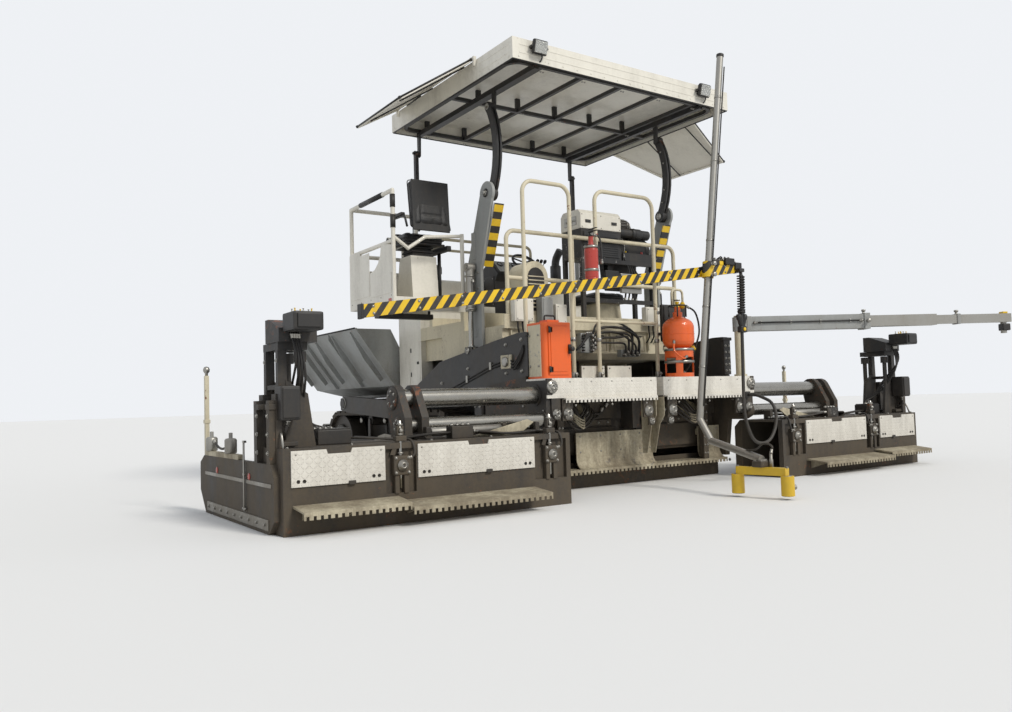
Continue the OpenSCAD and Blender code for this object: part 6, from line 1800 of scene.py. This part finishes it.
class PAVER_OT_undercarriage(Operator):
    """Fit the tracks, hopper, push rollers, augers and boom with covers, caps, pins, rubber and bolts"""

    bl_idname = "paver.undercarriage"
    bl_label = "Undercarriage, hopper and boom"

    SPROCKET, IDLER = -250, 2320  # y of the two axles of a track
    ROLLERS = 8
    WING_PIN, WING_EDGE = (1256, 0, 1092), (1640, 0, 1618)  # the lower and upper edge of a wing's sheet
    AUGER = (-1000, 360)  # y and z of its axis
    BOOM_TURN = -31  # degrees

    def execute(self, context):
        self.gear()
        self.hopper()
        self.push()
        self.augers()
        self.boom()
        return {"FINISHED"}

    def gear(self):
        gear = Form("black paint")
        cover = [(230, 0), (230, 10), (196, 22), (150, 24), (138, 34), (70, 38), (62, 50), (0, 50)]
        for y, share in ((self.SPROCKET, 1.0), (self.IDLER, 0.86)):
            drum = [(share * r, h) for r, h in cover]
            gear.use("black paint").turned((1118, y, 370), RIGHT, drum, 48)
            gear.use("fitting").bolts(on_circle((1140, y, 370), "x", 172 * share, 14), RIGHT, 20)
            gear.bolts(on_circle((1156, y, 370), "x", 52 * share, 6), RIGHT, 15)
        for i in range(1, self.ROLLERS):
            y = self.SPROCKET + (self.IDLER - self.SPROCKET) * i / self.ROLLERS
            gear.turned((1120, y, 140), RIGHT, [(44, 0), (44, 10), (30, 16), (14, 16), (0, 20)], 24)
        for y in (392, 1035, 1677):
            gear.turned((1120, y, 620), RIGHT, [(34, 0), (34, 10), (20, 15), (0, 16)], 22)
        gear.use("black paint").block((1112, 150, 330), (1134, 1900, 430), 8).use("fitting")
        for y in range(230, 1900, 210):
            gear.bolts([(1134, y, 356), (1134, y, 404)], RIGHT, 18)
        gear.mirrored().done("track_drive_covers", "tractor", "running_gear")

    def hopper(self):
        apron = Form("hose rubber")
        apron.block((-790, 2998, 520), (790, 3012, 766), 5)
        apron.use("bare steel").block((-790, 3012, 706), (790, 3022, 752), 3)
        apron.use("fitting").bolts([(x, 3022, 729) for x in range(-740, 741, 148)], FORE, 22)
        apron.done("hopper_apron", "tractor", "hopper_bed")
        out = Vector((630, 0, -460)).normalized()
        low, high = Vector(self.WING_PIN) + out * 2, Vector(self.WING_EDGE) + out * 2
        rib = [low, high, high + out * 20, (low + high) / 2 + out * 62, low + out * 50]
        for side in ("right", "left"):
            wing = Form("wing paint")
            for y in (760, 1300, 1840, 2380, 2860):
                wing.plate([(c.x, c.z) for c in rib], "y", y, 12, 1)
            wing.use("fitting").bolts([(1632, y, 1641) for y in range(700, 2961, 226)], UP, 16)
            for y in (700, 1250, 1800, 2350, 2900):
                wing.turned((790, y, 912), FORE, [(22, 0), (22, 44), (16, 48), (0, 48)], 18)
            wing.use("hose rubber").pipe([(1646, 650, 1644), (1646, 2965, 1644)], 9, 8)
            wing.done_on(side, "right", "wing_{}_ribs", "wing_{}", "wing_{}")

    def push(self):
        beam = Form("fitting")
        for x in (-820, -600, 600, 820):
            beam.bolts([(x, 3400, 420), (x, 3400, 500)], REAR, 24)
        pin = [(58, 0), (58, 10), (40, 16), (40, 30), (20, 34), (0, 34)]
        beam.turned((0, 3450, 540), UP, pin, 30)
        for x, way in ((306, -1), (892, 1)):
            for side in (1, -1):
                cap = [(30, 0), (30, 8), (18, 12), (0, 12)]
                beam.turned((side * x, 3610, 460), (side * way, 0, 0), cap, 22)
        beam.done("push_beam_pins", "push_beam", "push_beam")

    def augers(self):
        case = Form("screed black")
        bearing = [(104, 0), (104, 12), (80, 20), (64, 40), (46, 42)]
        case.turned((1126, *self.AUGER), RIGHT, bearing, 36)
        case.use("fitting").bolts(on_circle((1138, *self.AUGER), "x", 90, 8), RIGHT, 18)
        case.bolts([(1126, y, z) for y in (-1040, -960) for z in (620, 760, 900)], RIGHT, 20)
        case.mirrored().done("auger_bearings", "tractor", "auger_carrier")
        for side, way in (("right", RIGHT), ("left", LEFT)):
            ends = Form("bare steel")
            cap = [(45, 0), (70, 0), (70, 14), (30, 18), (0, 18)]
            ends.turned((way.x * 2250, *self.AUGER), way, cap, 30)
            ends.use("fitting").bolts(on_circle((way.x * 2264, *self.AUGER), "x", 55, 6), way, 15)
            ends.done(f"auger_end_{side}", f"auger_{side}", f"auger_{side}")

    def boom(self):
        turn = leaning((*BOOM_PIN, 1500), self.BOOM_TURN, "Z")
        outer = Form("wing paint")
        for low, high in (((-80, 58), (80, 80)), ((-80, -80), (80, -58)), ((-80, -60), (-58, 60)),
                          ((58, -60), (80, 60))):
            outer.block((1248, *low), (1306, *high), 4, turn)
        outer.block((60, -74, -74), (110, 74, 74), 6, turn).use("fitting")
        for at, way in (((1277, 0, 80), UP), ((1277, -80, 0), REAR)):
            outer.turned(turn @ Vector(at), turn.to_3x3() @ way, KNOB, 18)
        outer.turned((*BOOM_PIN, 1570), UP, CAP, 28).bolt((*BOOM_PIN, 1589), UP, 28)
        for x in (200, 500, 800, 1100):
            outer.block((x - 8, -84, -10), (x + 8, -68, 22), 2, turn)
        lead = [(120, -84, 6), (500, -79, 6), (900, -79, 6), (1230, -84, 6)]
        outer.use("hose rubber").hose([turn @ Vector(p) for p in lead], 8)
        outer.done("boom_clamp", "boom_outer", "boom_outer")
        inner = Form("wing paint")
        inner.block((2216, -52, -52), (2252, 52, 52), 6, turn)
        inner.use("fitting").turned(turn @ Vector((2234, 0, 52)), UP, KNOB, 18)
        inner.use("dull plastic").block((2690, -42, -128), (2768, 42, -58), 10, turn)
        inner.use("sensor yellow").block((2700, -34, 43), (2750, 34, 64), 5, turn)
        inner.done("boom_tip", "boom_inner", "boom_inner")


class PAVER_OT_stage(Operator):
    """Stand the machine in a pale studio, seen as in the photograph"""

    bl_idname = "paver.stage"
    bl_label = "Stage"

    FLOOR_HALF = 90  # metres
    SKY, BACKDROP = (0.86, 0.89, 0.94, 1), (0.86, 0.88, 0.91, 1)
    SKY_STRENGTH, SUN_STRENGTH = 0.66, 2.1
    SUN_COLOUR, SUN_SPREAD = (1.0, 0.965, 0.90), math.radians(14)
    SUN_TURN = (math.radians(50), 0, math.radians(14))

    def execute(self, context):
        stage = context.scene.paver_stage
        self.floor(stage)
        self.lights(context)
        self.camera(context, stage)
        context.scene.view_settings.view_transform = "Standard"
        return {"FINISHED"}

    def floor(self, stage):
        data = bpy.data.meshes.new("studio_floor")
        half = self.FLOOR_HALF
        corners = [(-half, -half, 0), (half, -half, 0), (half, half, 0), (-half, half, 0)]
        data.from_pydata(corners, [], [(0, 1, 2, 3)])
        made = bpy.data.objects.new("studio_floor", data)
        bpy.context.scene.collection.objects.link(made)
        new_finish("studio floor", Base_Color=(*stage.floor_colour, 1), Roughness=0.9)
        data.materials.append(bpy.data.materials["studio floor"])

    def lights(self, context):
        world = bpy.data.worlds.new("studio")
        context.scene.world = world
        world.use_nodes = True
        sky = world.node_tree.nodes["Background"]
        sky.inputs["Color"].default_value = self.SKY
        sky.inputs["Strength"].default_value = self.SKY_STRENGTH
        self.backdrop(world.node_tree, sky)
        sun = bpy.data.lights.new("key", "SUN")
        sun.energy = self.SUN_STRENGTH
        sun.angle = self.SUN_SPREAD
        sun.color = self.SUN_COLOUR
        key = bpy.data.objects.new("key", sun)
        key.rotation_euler = self.SUN_TURN
        context.scene.collection.objects.link(key)

    def backdrop(self, tree, sky):
        """A paler background, for the camera and for what glass and metal show."""
        pale = node(tree, "Background", {"Color": self.BACKDROP})
        rays = values_of(tree, node(tree, "LightPath").outputs)
        shown = rays["Is Camera Ray"]
        for kind in ("Is Glossy Ray", "Is Transmission Ray"):
            shown = shown.maths("MAXIMUM", rays[kind])
        either = node(tree, "MixShader", {0: shown, 1: sky.outputs[0], 2: pale.outputs[0]})
        put(tree, either.outputs[0], tree.nodes["World Output"].inputs["Surface"])

    def camera(self, context, stage):
        heading, pitch, roll = stage.camera_turn
        ahead = Vector((math.sin(heading) * math.cos(pitch), math.cos(heading) * math.cos(pitch),
                        math.sin(pitch)))
        right = Vector((math.cos(heading), -math.sin(heading), 0))
        up = right.cross(ahead)
        side = right * math.cos(roll) + up * math.sin(roll)
        top = up * math.cos(roll) - right * math.sin(roll)
        data = bpy.data.cameras.new("photograph")
        data.lens = stage.lens
        data.sensor_width = 36
        data.clip_end = 400
        made = bpy.data.objects.new("photograph", data)
        turn = Matrix((side, top, -ahead)).transposed().to_4x4()
        made.matrix_world = Matrix.Translation(Vector(stage.camera_at)) @ turn
        context.scene.collection.objects.link(made)
        context.scene.camera = made


class PAVER_PT_panel(Panel):
    """Lists the steps in the order in which they run"""

    bl_idname = "PAVER_PT_panel"
    bl_label = "Asphalt paver"
    bl_space_type = "VIEW_3D"
    bl_region_type = "UI"
    bl_category = "Paver"

    def draw(self, context):
        for step in STEPS:
            self.layout.operator(step.bl_idname)


GROUPS = (PaverColours, PaverSizes, PaverStage)
STEPS = (
    PAVER_OT_finishes,
    PAVER_OT_canopy,
    PAVER_OT_brackets,
    PAVER_OT_hood,
    PAVER_OT_rear_body,
    PAVER_OT_power_pack,
    PAVER_OT_console,
    PAVER_OT_station,
    PAVER_OT_seats,
    PAVER_OT_screed,
    PAVER_OT_tow_arms,
    PAVER_OT_extensions,
    PAVER_OT_gates,
    PAVER_OT_rear_gear,
    PAVER_OT_beam,
    PAVER_OT_undercarriage,
    PAVER_OT_stage,
)


def register():
    for cls in (*GROUPS, *STEPS, PAVER_PT_panel):
        bpy.utils.register_class(cls)
    bpy.types.Scene.paver_colours = PointerProperty(type=PaverColours)
    bpy.types.Scene.paver_sizes = PointerProperty(type=PaverSizes)
    bpy.types.Scene.paver_stage = PointerProperty(type=PaverStage)


def unregister():
    for name in ("paver_colours", "paver_sizes", "paver_stage"):
        delattr(bpy.types.Scene, name)
    for cls in reversed((*GROUPS, *STEPS, PAVER_PT_panel)):
        bpy.utils.unregister_class(cls)


def main():
    register()
    for step in STEPS:
        family, name = step.bl_idname.split(".")
        getattr(getattr(bpy.ops, family), name)()


if __name__ == "__main__":
    main()
